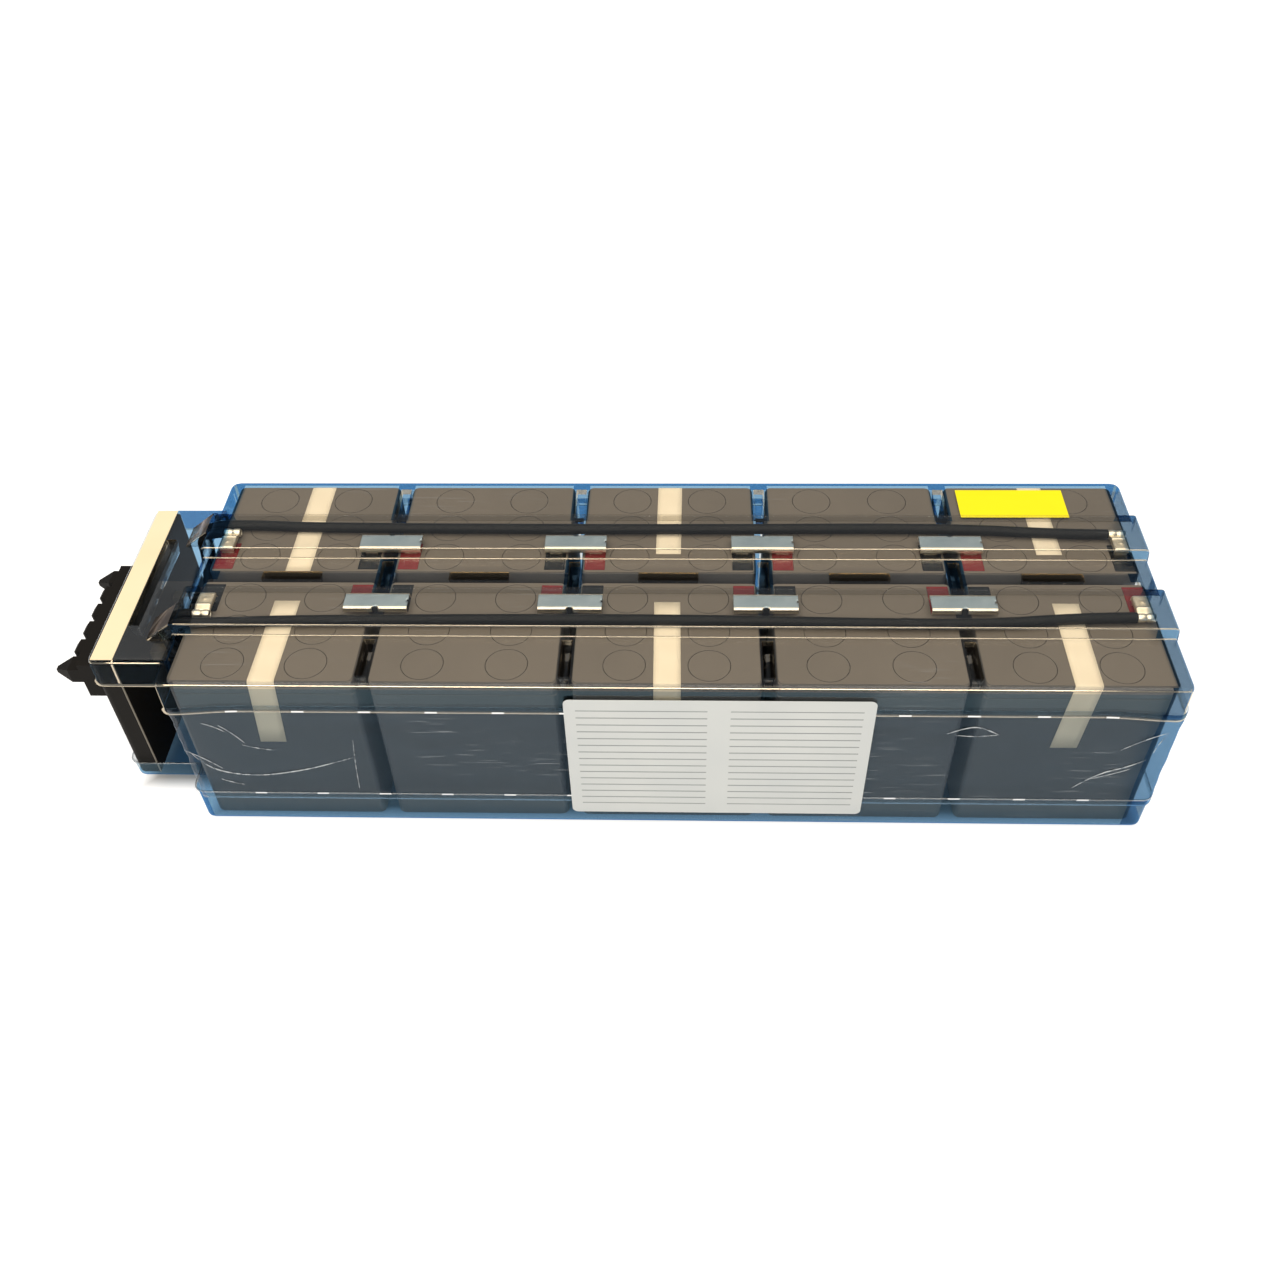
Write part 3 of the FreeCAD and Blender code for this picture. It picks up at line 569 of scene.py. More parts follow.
# Each strip's shifts along the row, at its low end, over the top edge and at its inner end, and the place
# of that inner end across the module.
for node, low_end, top_edge, inner_lean, inner_end in (
    ("paper_strip_front_1", -2.4, 1.0, 1.8, 18.2), ("paper_strip_front_3", 0.3, 0.3, -0.3, 18.2),
    ("paper_strip_front_5", -0.4, 2.6, 2.6, 18.2), ("paper_strip_back_1", 1.6, 2.2, 2.0, 4.3),
    ("paper_strip_back_3", 0.2, 0.2, -0.2, 18.2), ("paper_strip_back_5", 1.0, 1.4, 2.0, 18.2),
):
    side = -1 if "front" in node else 1
    bend = [(block_face + 0.04, z) for z in (strip_low, 70, 80, 90, 100.9)]
    for step in range(1, 6):
        angle = math.radians(15 * step)
        y = block_face - 1.0 + turn_radius * math.cos(angle)
        bend.append((y, turn_z + turn_radius * math.sin(angle)))
    bend += [(y, strip_top) for y in (block_face - 1.2, 64, 52, 40, 28, inner_end)]
    rows = []
    for y, z in bend:
        if y > block_face - 0.5:
            lean = low_end + (top_edge - low_end) * (z - strip_low) / 43.0
        else:
            lean = top_edge + (inner_lean - top_edge) * (block_face - y) / (block_face - inner_end)
        rows.append([((column / 4 - 0.5) * strip_wide + lean, side * y, z) for column in range(5)])
    points, faces = sheet_grid(rows)
    if side > 0:
        faces = [face[::-1] for face in faces]
    strip_mesh = build_mesh("strip", points, faces)
    strip_mesh.materials.append(paper_tape)
    strip = set_down(node.replace("paper_strip", "crepe_strip"), strip_mesh, (foot(node)[0], module[1], 0),
                     "paper_tape", node)
    thick = strip.modifiers.new("paper", "SOLIDIFY")
    thick.thickness = 0.00012
    thick.offset = 1.0


# Connector
# A black glass-filled nylon moulding: a plate held between lid and tray, a nose with four towers round
# the contacts, and two tapered posts that guide it into its socket. The contacts are plated brass.


def soften(part, width):
    """Rounds a part's crisp edges by a width in millimetres."""
    edge = part.modifiers.new("rounded edges", "BEVEL")
    edge.width = width * 0.001
    edge.segments = 2
    edge.limit_method = "ANGLE"
    edge.angle_limit = math.radians(40)
    edge.harden_normals = True


# Glass-filled nylon: near black, dull, with a faint fibrous mottling about 1 mm long. The sharp edges at the
# back of the plate, half hidden in the case, carry a painted highlight, a pale line half a millimetre wide.
plate_back, plate_side, rubbed_wide = -0.235375, 0.0572, 0.0006
nylon, add, place, tone, skin = mottled(
    "glass-filled nylon, moulded", 1, 3.0, "#0f0d0b", "#1b1815", {"IOR": 1.53, "Specular IOR Level": 0.12},
    rough=(0.55, 0.72), relief=(0.2, 0.1))
# Painted highlight: a pale line along the back of the plate, out past its sides.
spot = add("SeparateXYZ", {0: place})
back = maths(add, "COMPARE", spot.outputs["X"], plate_back, rubbed_wide)
side = maths(add, "GREATER_THAN", maths(add, "ABSOLUTE", spot.outputs["Y"]), plate_side)
rubbed = maths(add, "MULTIPLY", back, side)
worn = add("Mix", {"data_type": "RGBA", 0: rubbed, 6: tone, 7: "#928c82"})
nylon.node_tree.links.new(worn.outputs[2], skin.inputs["Base Color"])
soften(dress("connector_housing", nylon), 0.5)

# Contact brass under thin tin: dull and brownish, with a stain about 3 mm across.
contact_brass = mottled("tin-plated brass, tarnished", 3, 3.0, "#5a5040", "#7c6f58", {"Metallic": 1.0},
                        rough=(0.4, 0.6))[0]
soften(dress("connector_contacts", contact_brass), 0.3)


# Tray
# The lower half of the case: one sheet of clear PETG, 0.8 mm, vacuum-formed into a shallow pan with a
# raised floor under the connector and a rim turned outwards.


def clear_sheet(name, passed, gleam, mirror, roughness, scratched):
    """A thin clear sheet: passed is the light it lets through, gleam the colour of its gloss, which paints a
    tint into what it reflects, mirror the least share it reflects, a painted reflection wherever that is more
    than the sheet's Fresnel share, and scratched how white its handling scratches are."""
    made, add, place = start_material(name)
    waves = add("TexNoise", {"Vector": place, "Scale": 1 / 0.015, "Detail": 2.0})
    relief = add("Bump", {"Height": waves, "Strength": 0.2, "Distance": 0.0005})
    edge = add("Fresnel", {"Normal": relief, "IOR": 1.5})
    outside = maths(add, "SUBTRACT", 1.0, add("NewGeometry", {}).outputs["Backfacing"])
    # Gloss below the mirror share is raised to it: a painted reflection.
    gloss = maths(add, "MULTIPLY", maths(add, "MAXIMUM", edge, mirror), outside)
    turned = add("Mapping", {"Vector": place, "Rotation": (0.3, 0.7, 0.5), "Scale": (45.0, 1500.0, 1500.0)})
    hairs = add("TexNoise", {"Vector": turned, "Scale": 1.0, "Detail": 0.0})
    thin = add("MapRange", {"Value": hairs, "From Min": 0.7, "From Max": 0.76, "To Max": scratched})
    handled = add("TexNoise", {"Vector": place, "Scale": 1 / 0.07})
    patches = add("MapRange", {"Value": handled, "From Min": 0.5, "From Max": 0.62})
    worn = maths(add, "MULTIPLY", thin, patches)
    through = add("BsdfTransparent", {"Color": passed})
    white = add("BsdfDiffuse", {"Color": "#dfe6ec"})
    filled = add("MixShader", {0: worn, 1: through, 2: white})
    shine = add("BsdfGlossy", {"Color": gleam, "Roughness": roughness, "Normal": relief})
    whole = add("MixShader", {0: gloss, 1: filled, 2: shine})
    add("OutputMaterial", {"Surface": whole})
    return made


# Clear PETG. Straight through it hardly has a colour. Drawn walls are greyer and mirror the cool room, with
# a painted blue reflection added. Steep pocket walls are darkened with painted shade, and tight bends carry
# a painted highlight in bright warm lines, duller on the tray's rim. The hood's top is hazy from handling,
# with a painted veil of reflection, and the prows' sloped faces let less through and carry a warm painted
# sheen. Where nothing stands behind the sheet it carries a painted blue, standing in for a blue surface seen
# through it, greyer at the right end. Scratches are hair-thin and some 20 mm long, and the sheet
# waves by 15 mm.
petg_looks = [clear_sheet("clear PETG, " + spot, *values) for spot, *values in (
    ("flat", "#fbfaf8", "#ffffff", 0.0, 0.16, 0.1),
    ("drawn wall", "#e4e7e9", "#8db3c8", 0.085, 0.08, 0.12),
    ("nothing behind", "#84aed0", "#6f9cc6", 0.0, 0.06, 0.1),
    ("pocket wall", "#a8a29b", "#ffffff", 0.04, 0.06, 0.1),
    ("tight bend", "#dcd8d0", "#fff0d6", 0.5, 0.1, 0.0),
    ("sloped hood", "#a49c94", "#e2d2c8", 0.26, 0.35, 0.2),
    ("hood wall", "#e4e5e6", "#566b7c", 0.0, 0.06, 0.1),
    ("tray rim", "#d6d8da", "#dfe6ea", 0.2, 0.14, 0.0),
    ("hazy hood top", "#eceeef", "#f0f3f6", 0.12, 0.3, 0.2),
    ("hazy hood top, nothing behind", "#84aed0", "#f0f3f6", 0.1, 0.3, 0.2),
    ("right end", "#7c95ad", "#6f9cc6", 0.0, 0.06, 0.1),
    ("inner face", "#fdfdfc", "#ffffff", 0.0, 0.05, 0.0),
)]
FLAT, WALL, BLUE, POCKET, BEND, SLOPE, HOOD, RIM, HAZE, HAZE_BLUE, END = range(11)


def fill_lines(marks, step):
    """Sorted positions with more put in between, so that none are further apart than a step."""
    marks = sorted(set(round(mark, 3) for mark in marks))
    filled = marks[:1]
    for mark in marks[1:]:
        parts = max(1, math.ceil((mark - filled[-1]) / step))
        start = filled[-1]
        filled += [start + (mark - start) * part / parts for part in range(1, parts + 1)]
    return filled


def both_ways(positions):
    """Positions on both sides of the middle."""
    return [side * position for side in (-1, 1) for position in positions]


def edge_drop(inside, radius):
    """How far a rounded edge has fallen at a distance inside the outline."""
    if inside >= radius:
        return 0.0
    return radius - math.sqrt(max(0.0, radius ** 2 - (radius - inside) ** 2))


def pressed_sheet(centre, half, x_marks, y_marks, height, skirt, keep, up=1):
    """Points and faces of a formed sheet: a panel over a round-cornered outline, then skirt rows round it.

    height gives the panel's z from x, y and the distance inside the outline. skirt rows are pairs of a
    distance outwards and a function for z. keep says which faces stay, by their middle."""
    flat = [reach - sheet_corner for reach in half]
    rows = []
    normals = []
    for y in y_marks:
        row = []
        for x in x_marks:
            dx, dy = x - centre[0], y - centre[1]
            over_x = abs(dx) - flat[0]
            over_y = abs(dy) - flat[1]
            inside = min(half[0] - abs(dx), half[1] - abs(dy))
            normal = Vector((0, math.copysign(1, dy)))
            if over_x > over_y:
                normal = Vector((math.copysign(1, dx), 0))
            if over_x > 0 and over_y > 0:
                a, b = over_x / sheet_corner, over_y / sheet_corner
                over = sheet_corner * Vector((a * math.sqrt(1 - b * b / 2), b * math.sqrt(1 - a * a / 2)))
                inside = sheet_corner - over.length
                dx = math.copysign(flat[0] + over.x, dx)
                dy = math.copysign(flat[1] + over.y, dy)
                normal = Vector((math.copysign(over.x, dx), math.copysign(over.y, dy))).normalized()
            x_on, y_on = centre[0] + dx, centre[1] + dy
            row.append((x_on, y_on, height(x_on, y_on, max(inside, 0.0))))
            normals.append(normal)
        rows.append(row)
    points, faces = sheet_grid(rows)
    wide, deep = len(x_marks), len(y_marks)
    rim = list(range(wide)) + [row * wide + wide - 1 for row in range(1, deep)]
    rim += [(deep - 1) * wide + column for column in range(wide - 2, -1, -1)]
    rim += [row * wide for row in range(deep - 2, 0, -1)]
    above = rim
    for out, level in skirt:
        below = []
        for index in rim:
            x, y, z = points[index]
            normal = normals[index]
            below.append(len(points))
            points.append((x + out * normal.x, y + out * normal.y, level(x, y)))
        for index in range(len(rim)):
            after = (index + 1) % len(rim)
            faces.append((below[index], below[after], above[after], above[index]))
        above = below
    kept = []
    for face in faces:
        middle = sum((Vector(points[index]) for index in face), Vector()) / len(face)
        if keep(middle):
            kept.append(face if up > 0 else face[::-1])
    return points, kept


def thicken(piece, looks, zone, thickness):
    """Gives each face of a sheet its look by place, and the sheet a thickness with a plain inner face."""
    for look in looks:
        piece.data.materials.append(look)
    for face in piece.data.polygons:
        face.material_index = zone(*(face.center * 1000))
    thick = piece.modifiers.new("sheet", "SOLIDIFY")
    thick.thickness = thickness * 0.001
    thick.offset = -1.0
    thick.material_offset = len(looks)


# The outlines of lid and tray, as half sizes of the part round the blocks and of the end round the connector,
# the radius of their corners, grid lines close together near the edges, where the sheet turns down, and
# half the gap between the two rows of blocks.
main_half = (244.8, 77.55)
end_half = (24.6, 59.0)
end_centre = (-259.4, 0.0)
end_left = -284
sheet_corner = 5.0
sheet_thick = 0.8
near_edge = (0, 0.3, 0.8, 1.5, 2.4, 5.0)
row_gap = 4.5
edges_x = [main_half[0] - inwards for inwards in near_edge]
edges_y = [main_half[1] - inwards for inwards in near_edge]
end_edges_x = [end_left + inwards for inwards in near_edge] + [-244.8, -239.8, -234.8]
end_edges_y = [end_half[1] - inwards for inwards in near_edge]

tray_bend, shelf_z, shelf_bend = 2.4, 11.6, 14.2
wall_foot, rim_low = 12.4, 22.5
past_left, past_right, end_wall = -237.0, 233.8, 244.5
main_x = fill_lines(both_ways(edges_x + [past_right]), 20)
main_y = fill_lines(both_ways(edges_y + [row_gap, 54, 59]), 20)
wall = []
for out, z in ((0.1, wall_foot), (0.25, 21.6), (0.6, 22.9), (1.2, 23.5), (1.2, 24.0)):
    wall.append((out, lambda x, y, z=z: z))
pan = pressed_sheet((0, 0), main_half, main_x, main_y, lambda x, y, inside: edge_drop(inside, tray_bend),
                    wall, lambda m: not (m.x < -end_wall and abs(m.y) < 58 and m.z > wall_foot), -1)
end_x = fill_lines(end_edges_x, 14)
end_y = fill_lines(both_ways(end_edges_y), 20)
shelf = pressed_sheet(end_centre, end_half, end_x, end_y,
                      lambda x, y, inside: shelf_z + edge_drop(inside, tray_bend),
                      wall[1:], lambda m: m.x < -main_half[0], -1)


def tray_zone(x, y, z):
    """The look of a spot on the tray."""
    # The rim gets a duller painted highlight, and where nothing stands behind the tray it gets the painted
    # blue.
    if z > rim_low:
        return RIM
    if x < -end_wall - 1:
        return BLUE if z < shelf_bend else WALL
    if past_right < x < end_wall and z > tray_bend:
        return END
    between_rows = x > end_wall and abs(y) < row_gap
    return BLUE if z < tray_bend or x < past_left or between_rows else WALL


tray = set_down("formed_tray", join_sheets("tray", [pan, shelf]), module, "clear_sheet", "case_tray")
thicken(tray, petg_looks, tray_zone, sheet_thick)


# Lid
# The upper half of the case, formed from the same sheet: two raised channels over the link bars and
# leads, rib pockets pressed down between the blocks, a lower hood over the connector, and a turned rim.
lid_top, hood_top, rise, lid_bend = 103.8, 99.3, 5.9, 2.2
panel_side = 73.9

# Rib pockets, each by its middle and its half sizes: across the gaps between the blocks, along the slot
# between the rows, and one in the hood that locks the connector's plate.
gaps = (-145.5, -48.5, 48.5, 145.5)
middles = (-194.0, -97.0, 0.0, 97.0, 194.0)
pocket_deep = 8.2
gap_half, inner_half, outer_half, outer_y = 2.1, 10.1, 11.6, 58.35
slot_half = (14.7, 2.35)
lock_x, lock_half = -267.8, (2.2, 32.2)
pockets = [(gap, 0.0, gap_half, inner_half) for gap in gaps]
pockets += [(gap, side * outer_y, gap_half, outer_half) for gap in gaps for side in (-1, 1)]
pockets += [(middle, 0.0, *slot_half) for middle in middles]
hood_pocket = ((lock_x, 0.0, *lock_half),)

# A channel's two sides, by the place where each is half way up, and the prow that carries it on to the hood,
# with a seam along its outer foot that carries a painted highlight.
channel_sides = (13.95, 42.95)
side_wide = 1.8
prow_sides = (27.1, 42.95)
prow_back, prow_tip, prow_foot = -242.3, -258.3, 99.4
prow_line = ((prow_back, prow_foot), (prow_back, 109.7), (-main_half[0], 109.7), (prow_tip, prow_foot))
prow_seam = (42.4, 43.4)

# Where the sheet changes its look: the shares of a pocket's depth at which its lip starts and ends, heights
# that part panels from walls, the bent front edges of hood and lid, the bend at a channel's side, the painted
# highlight line up a corner by its top and its angles, and the hood's front wall with a painted
# highlight line down it.
lip_start, lip_end = 0.01, 0.25
panel_low, hood_flat, wall_top, rim_high = 90, 99, 101, 1.15
hood_edge, lid_edge, lid_front, side_bend = (97.9, 98.8), (102.7, 103.35), -76, 0.31
corner_top, corner_line = 102, (35, 55)
hood_front, hood_crease, crease_half = -57, -271, 0.45

# Where it carries a painted blue, standing in for a blue surface seen through the clear sheet, because
# nothing stands behind it: past the ends of channels, slot and flat panel and past the sides, in strips over
# the gaps inside and outside the channels, and on the hood. At the left end the blue starts at a place
# across, and at the right end it is greyer up to another. The last three are where the parts of the end
# walls start.
past_channel, past_slot, past_flat, past_side = 234.0, 232.0, 236.6, 75
gap_strip, strip_inner, strip_outer = 4.6, 13.0, 44
hood_blue, left_blue, right_grey = 5, -14, 69.4
channel_end, end_top, end_face = 244, 244.2, 244.6


def smooth(value):
    """A soft step from 0 to 1."""
    value = min(1.0, max(0.0, value))
    return value * value * (3 - 2 * value)


def pocket_depth(x, y, places):
    """How far down the rib pockets press the sheet at a point, from 0 to 1."""
    depth = 0.0
    for px, py, hx, hy in places:
        inside = min(hx - abs(x - px), hy - abs(y - py))
        depth = max(depth, smooth((inside + 0.7) / 1.2))
    return depth


def channel_rise(y):
    """How far up a channel's side a point across the lid is, from 0 beside the channels to 1 on them."""
    inner, outer = channel_sides
    half_side = side_wide / 2
    return min((abs(y) - inner + half_side) / side_wide, (outer + half_side - abs(y)) / side_wide)


def lid_height(x, y, inside):
    """The lid's upper face: flat, with two channels along it and the rib pockets."""
    pressed = pocket_deep * pocket_depth(x, y, pockets)
    return lid_top + rise * smooth(channel_rise(y)) - pressed - edge_drop(inside, lid_bend)


def hood_height(x, y, inside):
    """The hood's upper face: flat, with the pocket that locks the connector."""
    return hood_top - pocket_deep * pocket_depth(x, y, hood_pocket) - edge_drop(inside, lid_bend)


def rim_level(x, y):
    """The lid's rim, which droops a little towards the corners where the sheet was stretched."""
    return 86.3 - 2.6 * smooth((abs(x) - 205) / 38)


def prow(side):
    """Points and faces of the hood that carries a channel's top down over the connector, edges rounded."""
    form = bmesh.new()
    ends = [[form.verts.new((x, side * y, z)) for x, z in prow_line] for y in prow_sides]
    for first in (1, 2):
        form.faces.new((ends[0][first], ends[1][first], ends[1][first + 1], ends[0][first + 1]))
    form.faces.new(ends[0])
    form.faces.new(ends[1])
    folds = []
    for edge in form.edges:
        start, end = edge.verts
        if len(edge.link_faces) == 2 and abs(start.co.y - end.co.y) < 1:
            folds.append(edge)
    bmesh.ops.bevel(form, geom=folds, offset=0.9, offset_type="WIDTH", segments=3, profile=0.5,
                    affect="EDGES")
    bmesh.ops.recalc_face_normals(form, faces=form.faces)
    highest = max(form.faces, key=lambda face: face.calc_center_median().z)
    if highest.normal.z < 0:
        bmesh.ops.reverse_faces(form, faces=form.faces)
    form.verts.index_update()
    points = [tuple(vert.co) for vert in form.verts]
    faces = [tuple(vert.index for vert in face.verts) for face in form.faces]
    form.free()
    return points, faces


def keep_cover(m):
    """Which faces of the main panel stay: it is open to the hood and under the two prows."""
    under_prow = m.x < prow_back and prow_sides[0] + 0.5 < abs(m.y) < prow_seam[0] and m.z > prow_foot
    return not under_prow and not (m.x < -channel_end and abs(m.y) < -hood_front and m.z < hood_flat)


def rib_marks(middle, half):
    """Grid lines over both edges of a rib pocket, close together where the sheet turns down."""
    steps = (-0.95, -0.7, -0.5, -0.2, 0.15, 0.4, 0.5)
    return [middle + side * (half - step) for side in (-1, 1) for step in steps]


marks_x = both_ways(edges_x + [past_slot, past_channel, past_flat])
marks_y = both_ways(edges_y + [prow_sides[0], panel_side]) + [0.0]
for gap in gaps:
    marks_x += rib_marks(gap, gap_half) + [gap - gap_strip, gap, gap + gap_strip]
for middle in middles:
    marks_x += rib_marks(middle, slot_half[0])
marks_y += rib_marks(0.0, inner_half) + rib_marks(0.0, slot_half[1])
marks_y += rib_marks(outer_y, outer_half) + rib_marks(-outer_y, outer_half)
for step in (-1.15, -0.9, -0.75, -0.55, -0.3, 0.0, 0.3, 0.55, 0.75, 0.9, 1.15):
    marks_y += both_ways([channel_side + step for channel_side in channel_sides])
skirt = [(0.1, lambda x, y: 98.0)]
for out, above_rim in ((0.2, 2.4), (0.5, 1.1), (1.2, 0.5), (1.2, 0.0)):
    skirt.append((out, lambda x, y, above_rim=above_rim: rim_level(x, y) + above_rim))
cover = pressed_sheet((0, 0), main_half, fill_lines(marks_x, 12), fill_lines(marks_y, 8), lid_height, skirt,
                      keep_cover)
hood_x = end_edges_x + [hood_crease - 0.4, hood_crease + 0.4, prow_tip, lock_x]
hood_x += rib_marks(lock_x, lock_half[0])
hood_y = both_ways(end_edges_y + list(prow_seam)) + rib_marks(0.0, lock_half[1])
hood = pressed_sheet(end_centre, end_half, fill_lines(hood_x, 8), fill_lines(hood_y, 12), hood_height,
                     skirt[1:], lambda m: m.x < -main_half[0])


def hood_zone(x, y, z):
    """The look of a spot on the hood and on the prows."""
    pressed = pocket_depth(x, y, hood_pocket)
    if pressed > lip_start and z > panel_low:
        return BEND if pressed < lip_end else HAZE
    # The hood's bent front edge and a line down its front wall get the painted highlight.
    if y < hood_front and (hood_edge[0] < z < hood_edge[1] or abs(x - hood_crease) < crease_half):
        return BEND
    # The prows' rounded edges get the painted highlight, and their sloped faces the warm painted sheen.
    if z > prow_foot + 0.1:
        if x > -main_half[0] - 0.4:
            return BLUE if y > left_blue else HOOD
        bevel = min(abs(abs(y) - prow_side) for prow_side in prow_sides)
        if bevel < 0.03:
            return HOOD
        return BEND if bevel < 0.8 else SLOPE
    if x > prow_tip - 0.2 and z > hood_flat and prow_seam[0] < abs(y) < prow_seam[1]:
        return BEND
    if y < hood_front:
        return HOOD
    return HAZE_BLUE if x > hood_crease - 0.5 and y > hood_blue else HAZE


def lid_zone(x, y, z):
    """The look of a spot on the lid."""
    # The rim band, a line up each corner, the channel-side bends and the lid's front edge get the painted
    # highlight.
    if z < rim_level(x, y) + rim_high:
        return BEND
    past_x = abs(x) - main_half[0] + sheet_corner
    past_y = abs(y) - main_half[1] + sheet_corner
    if z < corner_top and past_x > 0 and past_y > 0:
        if corner_line[0] < math.degrees(math.atan2(past_y, past_x)) < corner_line[1]:
            return BEND
    if x < -main_half[0]:
        return hood_zone(x, y, z)
    up = channel_rise(y)
    if 0 < up < 1 and abs(x) < channel_end:
        if abs(up - 0.5) > side_bend:
            return BEND
        return BLUE if abs(x) > past_channel else FLAT
    # Pocket lips get the painted highlight, and the pockets' walls below them the painted shade.
    pressed = pocket_depth(x, y, pockets)
    on_panel = z > panel_low and abs(y) < panel_side
    if lip_start < pressed < lip_end and on_panel:
        return BEND
    # Over the gaps between blocks the sheet gets the painted blue.
    over_gap = min(abs(x - gap) for gap in gaps) < gap_strip
    if over_gap and on_panel and (abs(y) < strip_inner or y > strip_outer):
        return BLUE
    if pressed >= lip_end and on_panel:
        return POCKET
    if y < lid_front and lid_edge[0] < z < lid_edge[1]:
        return BEND
    between_rows = abs(y) < row_gap
    past_block = past_channel if up >= 1 or abs(y) > past_side else past_flat
    if between_rows:
        past_block = past_slot
    beyond = abs(x) > past_block and (z > wall_top or abs(x) < end_face or between_rows)
    # Past the blocks the sheet gets the painted blue, greyer at the right end.
    if beyond or (y > panel_side and z > hood_flat):
        if x > 0 and y < right_grey:
            return WALL if up >= 1 and x > end_top else END
        return HOOD if x < 0 and y < left_blue else BLUE
    return WALL if z < wall_top else FLAT


sheets = [cover, hood, prow(-1), prow(1)]
lid = set_down("formed_lid", join_sheets("lid", sheets), module, "clear_sheet", "case_lid")
thicken(lid, petg_looks, lid_zone, sheet_thick)


# Seam film
# A wide clear adhesive film pulled from rim to rim round the front, right end and back, which holds lid
# and tray together. It sinks a little between the rims, and a painted highlight marks each snap bump
# on them.

# Stretched PVC film: clear, a little grey, mirroring the cool room, with a painted blue reflection added.
# Over each snap bump and along the rims it carries a painted highlight. It is hazy where its end has come
# loose, with a painted veil of reflection there, and where nothing stands behind it, it carries a painted
# blue like the sheet's.
film_looks = [clear_sheet("clear PVC film, " + spot, *values) for spot, *values in (
    ("stretched", "#dbe1e6", "#89a7c0", 0.05, 0.1, 0.22),
    ("nothing behind", "#7fa6c8", "#6f9cc6", 0.0, 0.1, 0.2),
    ("over the rim", "#eef0f2", "#fff6f0", 0.1, 0.16, 0.0),
    ("strained", "#f4f6f8", "#ffffff", 0.75, 0.3, 0.0),
    ("loose end", "#dbe1e6", "#c4ccd8", 0.11, 0.3, 0.3),
    ("inner face", "#fdfdfc", "#ffffff", 0.0, 0.1, 0.0),
)]
STRETCHED, EMPTY, OVER_RIM, STRAINED, LOOSE = range(5)
film_out = (246.05, 78.8)
film_corner = 6.3
film_left, film_low, tray_rim = -241.0, 19.4, 24.2
loose_end, back_side, gap_wide, right_turn = -238, 70, 3.6, (233.6, 244.9)
round_x, round_y = film_out[0] - film_corner, film_out[1] - film_corner
snaps = [32.3 * number + 16.2 for number in range(-7, 7)]
snap_marks = [snap + step for snap in snaps for step in (-3.2, -2.8, 2.8, 3.2)]
along = fill_lines([film_left, round_x] + snap_marks, 2.5)

# The film's track round the case, as places and the directions it faces.
turns = []
for start, middle_y in ((-90, -round_y), (0, round_y)):
    turn = []
    for step in range(1, 6):
        angle = math.radians(start + 15 * step)
        nx, ny = math.cos(angle), math.sin(angle)
        turn.append((round_x + film_corner * nx, middle_y + film_corner * ny, nx, ny))
    turns.append(turn)
track = [(x, -film_out[1], 0, -1) for x in along] + turns[0]
track += [(film_out[0], y, 1, 0) for y in fill_lines([-round_y, round_y], 2.5)] + turns[1]
track += [(x, film_out[1], 0, 1) for x in reversed(along)]


def film_zone(x, y, z):
    """The look of a spot on the film: a painted highlight over a snap bump and along the rims, plain
    elsewhere.
    """
    if abs(z - rim_level(x, y) - 0.6) < 0.55 or abs(z - tray_rim + 0.5) < 0.5:
        return STRAINED if abs(y) > 78 and min(abs(x - snap) for snap in snaps) < 3.0 else OVER_RIM
    if x < loose_end and y < 0:
        return LOOSE
    between = y > back_side and min(abs(x - gap) for gap in gaps) < gap_wide
    past_end = right_turn[0] < x < right_turn[1] or (x > right_turn[1] and abs(y) < row_gap)
    return EMPTY if between or past_end else STRETCHED


rows = []
for x, y, nx, ny in track:
    rim = rim_level(x, y)
    levels = fill_lines([film_low, tray_rim - 1.0, tray_rim], 3.0)
    levels += [tray_rim + (rim - tray_rim) * part / 22 for part in range(1, 23)]
    levels += [rim + 0.05, rim + rim_high, rim + 4.7]
    row = []
    for z in levels:
        free = smooth((z - 24.4) / 8) * smooth((rim - 0.5 - z) / 8)
        ripple = noise.noise(Vector((x * 0.05, y * 0.05, z * 0.11)))
        sink = free * (0.5 + 0.45 * ripple)
        wander = 1.6 * noise.noise(Vector((3.1, y * 0.02, z * 0.16))) * smooth((-229 - x) / 12)
        row.append((x - nx * sink + abs(wander), y - ny * sink, z))
    rows.append(row)
points, faces = sheet_grid(rows)
faces = [(first, fourth, third, second) for first, second, third, fourth in faces]
film = set_down("stretched_film", build_mesh("film", points, faces, 60), module, "clear_film", "seam_film")
thicken(film, film_looks, film_zone, 0.2)

# Creases in the film, each a fold half a millimetre wide that has gone white: a long curved one and short
# ones by the left end, a puckered spot, and a fan of them by the right end.
crease_y = -78.62
creases = (
    ((-238.3, 55.7), (-234.1, 46.5), (-224.7, 39.8), (-208.5, 37.4), (-191.2, 40.2), (-173.5, 45.5),
     (-156.8, 52.4)),
    ((-227.0, 77.7), (-221.0, 75.5), (-216.8, 71.4)),
    ((-218.8, 76.2), (-213.0, 70.5), (-209.0, 63.4)),
    ((-210.5, 61.7), (-203.0, 58.6), (-195.0, 57.8)),
    ((-240.0, 56.5), (-233.0, 51.8), (-225.0, 43.2)),
    ((-227.7, 34.6), (-222.0, 31.4), (-216.9, 30.3)),
    ((-154.4, 65.6), (-156.6, 47.4), (-157.7, 28.4)),
    ((134.4, 73.9), (140.6, 77.4), (148.2, 79.5), (155.5, 75.8), (159.3, 73.3)),
    ((137.9, 73.1), (145.9, 72.0), (153.7, 72.7), (158.2, 73.3)),
    ((201.5, 32.5), (211.7, 44.7), (226.6, 50.3), (233.2, 55.7)),
    ((219.1, 62.6), (229.4, 71.4), (238.9, 75.8)),
    ((235.3, 61.1), (236.0, 68.0), (238.6, 74.9)),
    ((210.2, 41.0), (219.0, 44.0), (227.0, 48.5)),
)
fold_white, add, place = start_material("PVC film, creased white")
broken = add("TexNoise", {"Vector": place, "Scale": 1 / 0.004, "Detail": 2.0})
amount = add("MapRange", {"Value": broken, "From Min": 0.35, "From Max": 0.7, "To Min": 0.1, "To Max": 0.75})
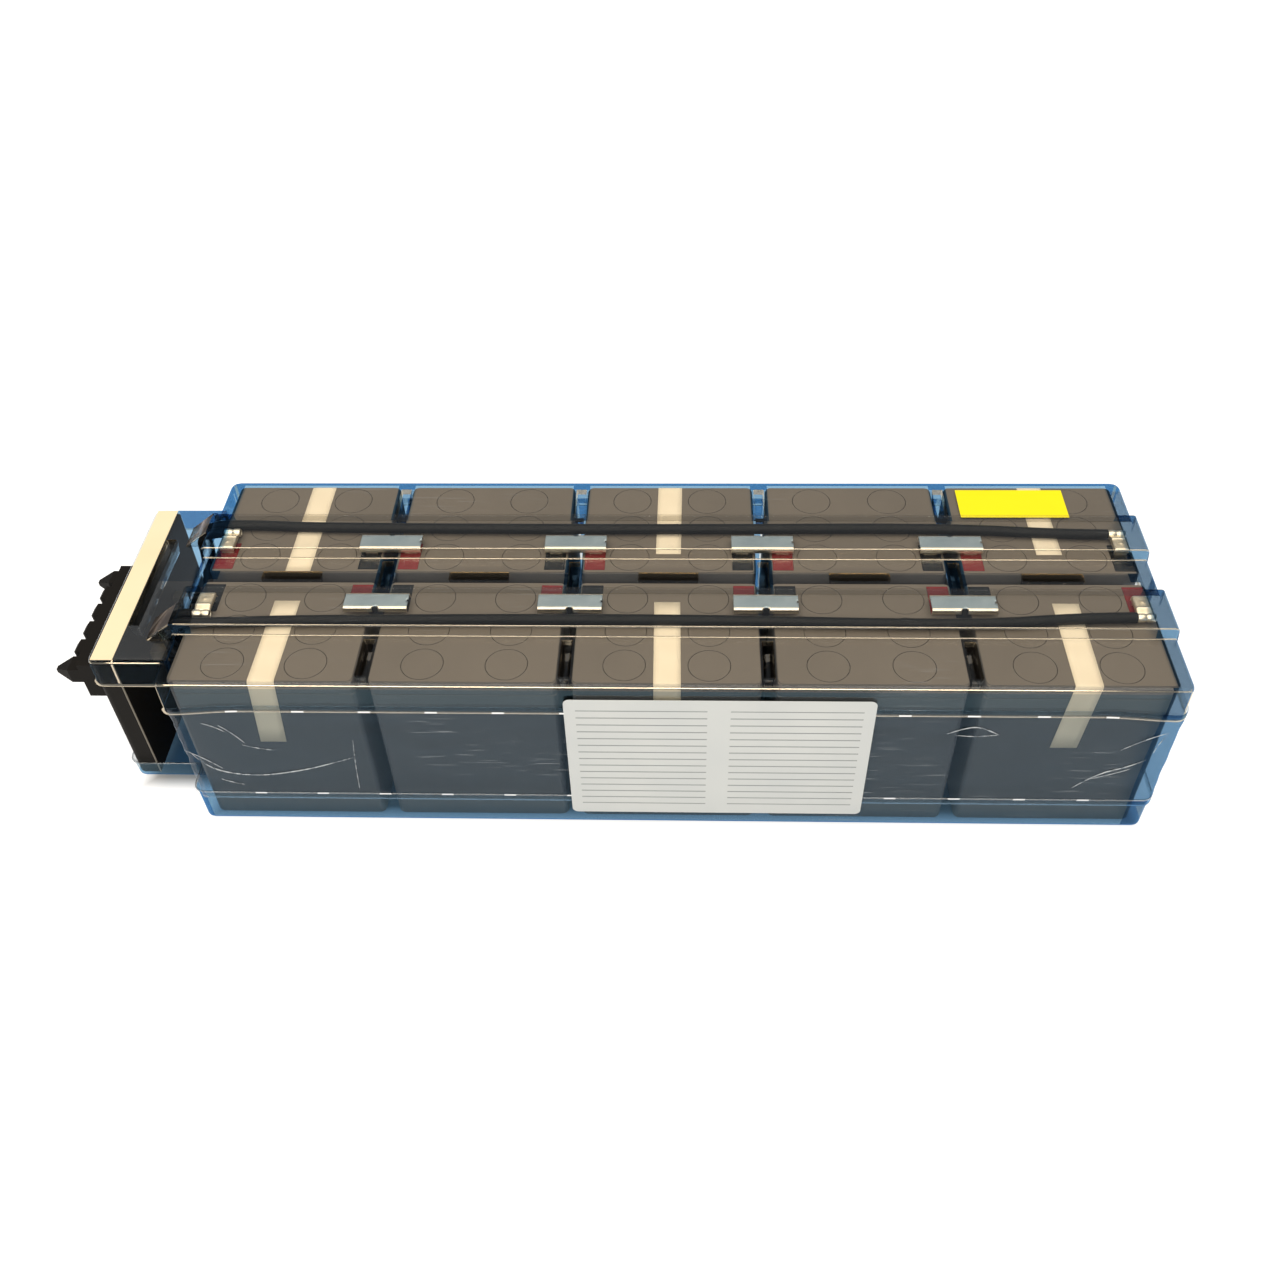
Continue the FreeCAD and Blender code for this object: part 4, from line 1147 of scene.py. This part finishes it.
through = add("BsdfTransparent", {"Color": "#f6f8fa"})
skin = add("BsdfPrincipled", {"Base Color": "#e6ecf1", "Roughness": 0.35, "IOR": 1.52})
mixed = add("MixShader", {0: amount, 1: through, 2: skin})
add("OutputMaterial", {"Surface": mixed})
folds = bpy.data.curves.new("film_creases", "CURVE")
folds.dimensions = "3D"
folds.bevel_depth = 0.0003
folds.bevel_resolution = 1
folds.resolution_u = 8
for crease in creases:
    spline = add_spline(folds, "NURBS", [(x, crease_y, z) for x, z in crease])
    for end in (0, -1):
        spline.points[end].radius = 0.4
folds.materials.append(fold_white)
set_down("film_creases", folds, module, "clear_film")


# Labels
# A large white label on the front film, printed with two columns of fine ruled lines, a small yellow one on
# the lid, and a strip of cream paper over the connector. All are stuck down flat.

# Coated paper: smooth, evenly coloured and a little glossy, with faint clouds 30 mm across.
for node, dark, light, gloss in (
    ("side_label", "#d6dcdf", "#e4e8e8", 0.4), ("top_label", "#f4e600", "#fff000", 0.35),
    ("connector_label", "#e6d5b0", "#f1e3c2", 0.6),
):
    coated, add, place, tone, skin = mottled("coated paper, " + node.split("_")[0], 30, 2.0, dark, light,
                                             {"IOR": 1.48, "Roughness": gloss})
    if node == "side_label":
        low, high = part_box(node)
        spot = add("SeparateXYZ", {0: place})
        masks = []
        for axis, start, end, repeats, share in (
            ("X", low.x, high.x, 2, 0.425), ("Z", low.z, high.z, 1, 0.415), ("Z", low.z, high.z, 17, 0.07),
        ):
            run = add("MapRange", {"Value": spot.outputs[axis], "From Min": start, "From Max": end,
                                   "To Max": repeats})
            off = maths(add, "SUBTRACT", maths(add, "FRACT", run), 0.5)
            masks.append(maths(add, "LESS_THAN", maths(add, "ABSOLUTE", off), share))
        ruled = maths(add, "MULTIPLY", maths(add, "MULTIPLY", masks[0], masks[1]), masks[2])
        printed = add("Mix", {"data_type": "RGBA", 0: ruled, 6: tone, 7: "#949a9d"})
        coated.node_tree.links.new(printed.outputs[2], skin.inputs["Base Color"])
    dress(node, coated)


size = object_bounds()
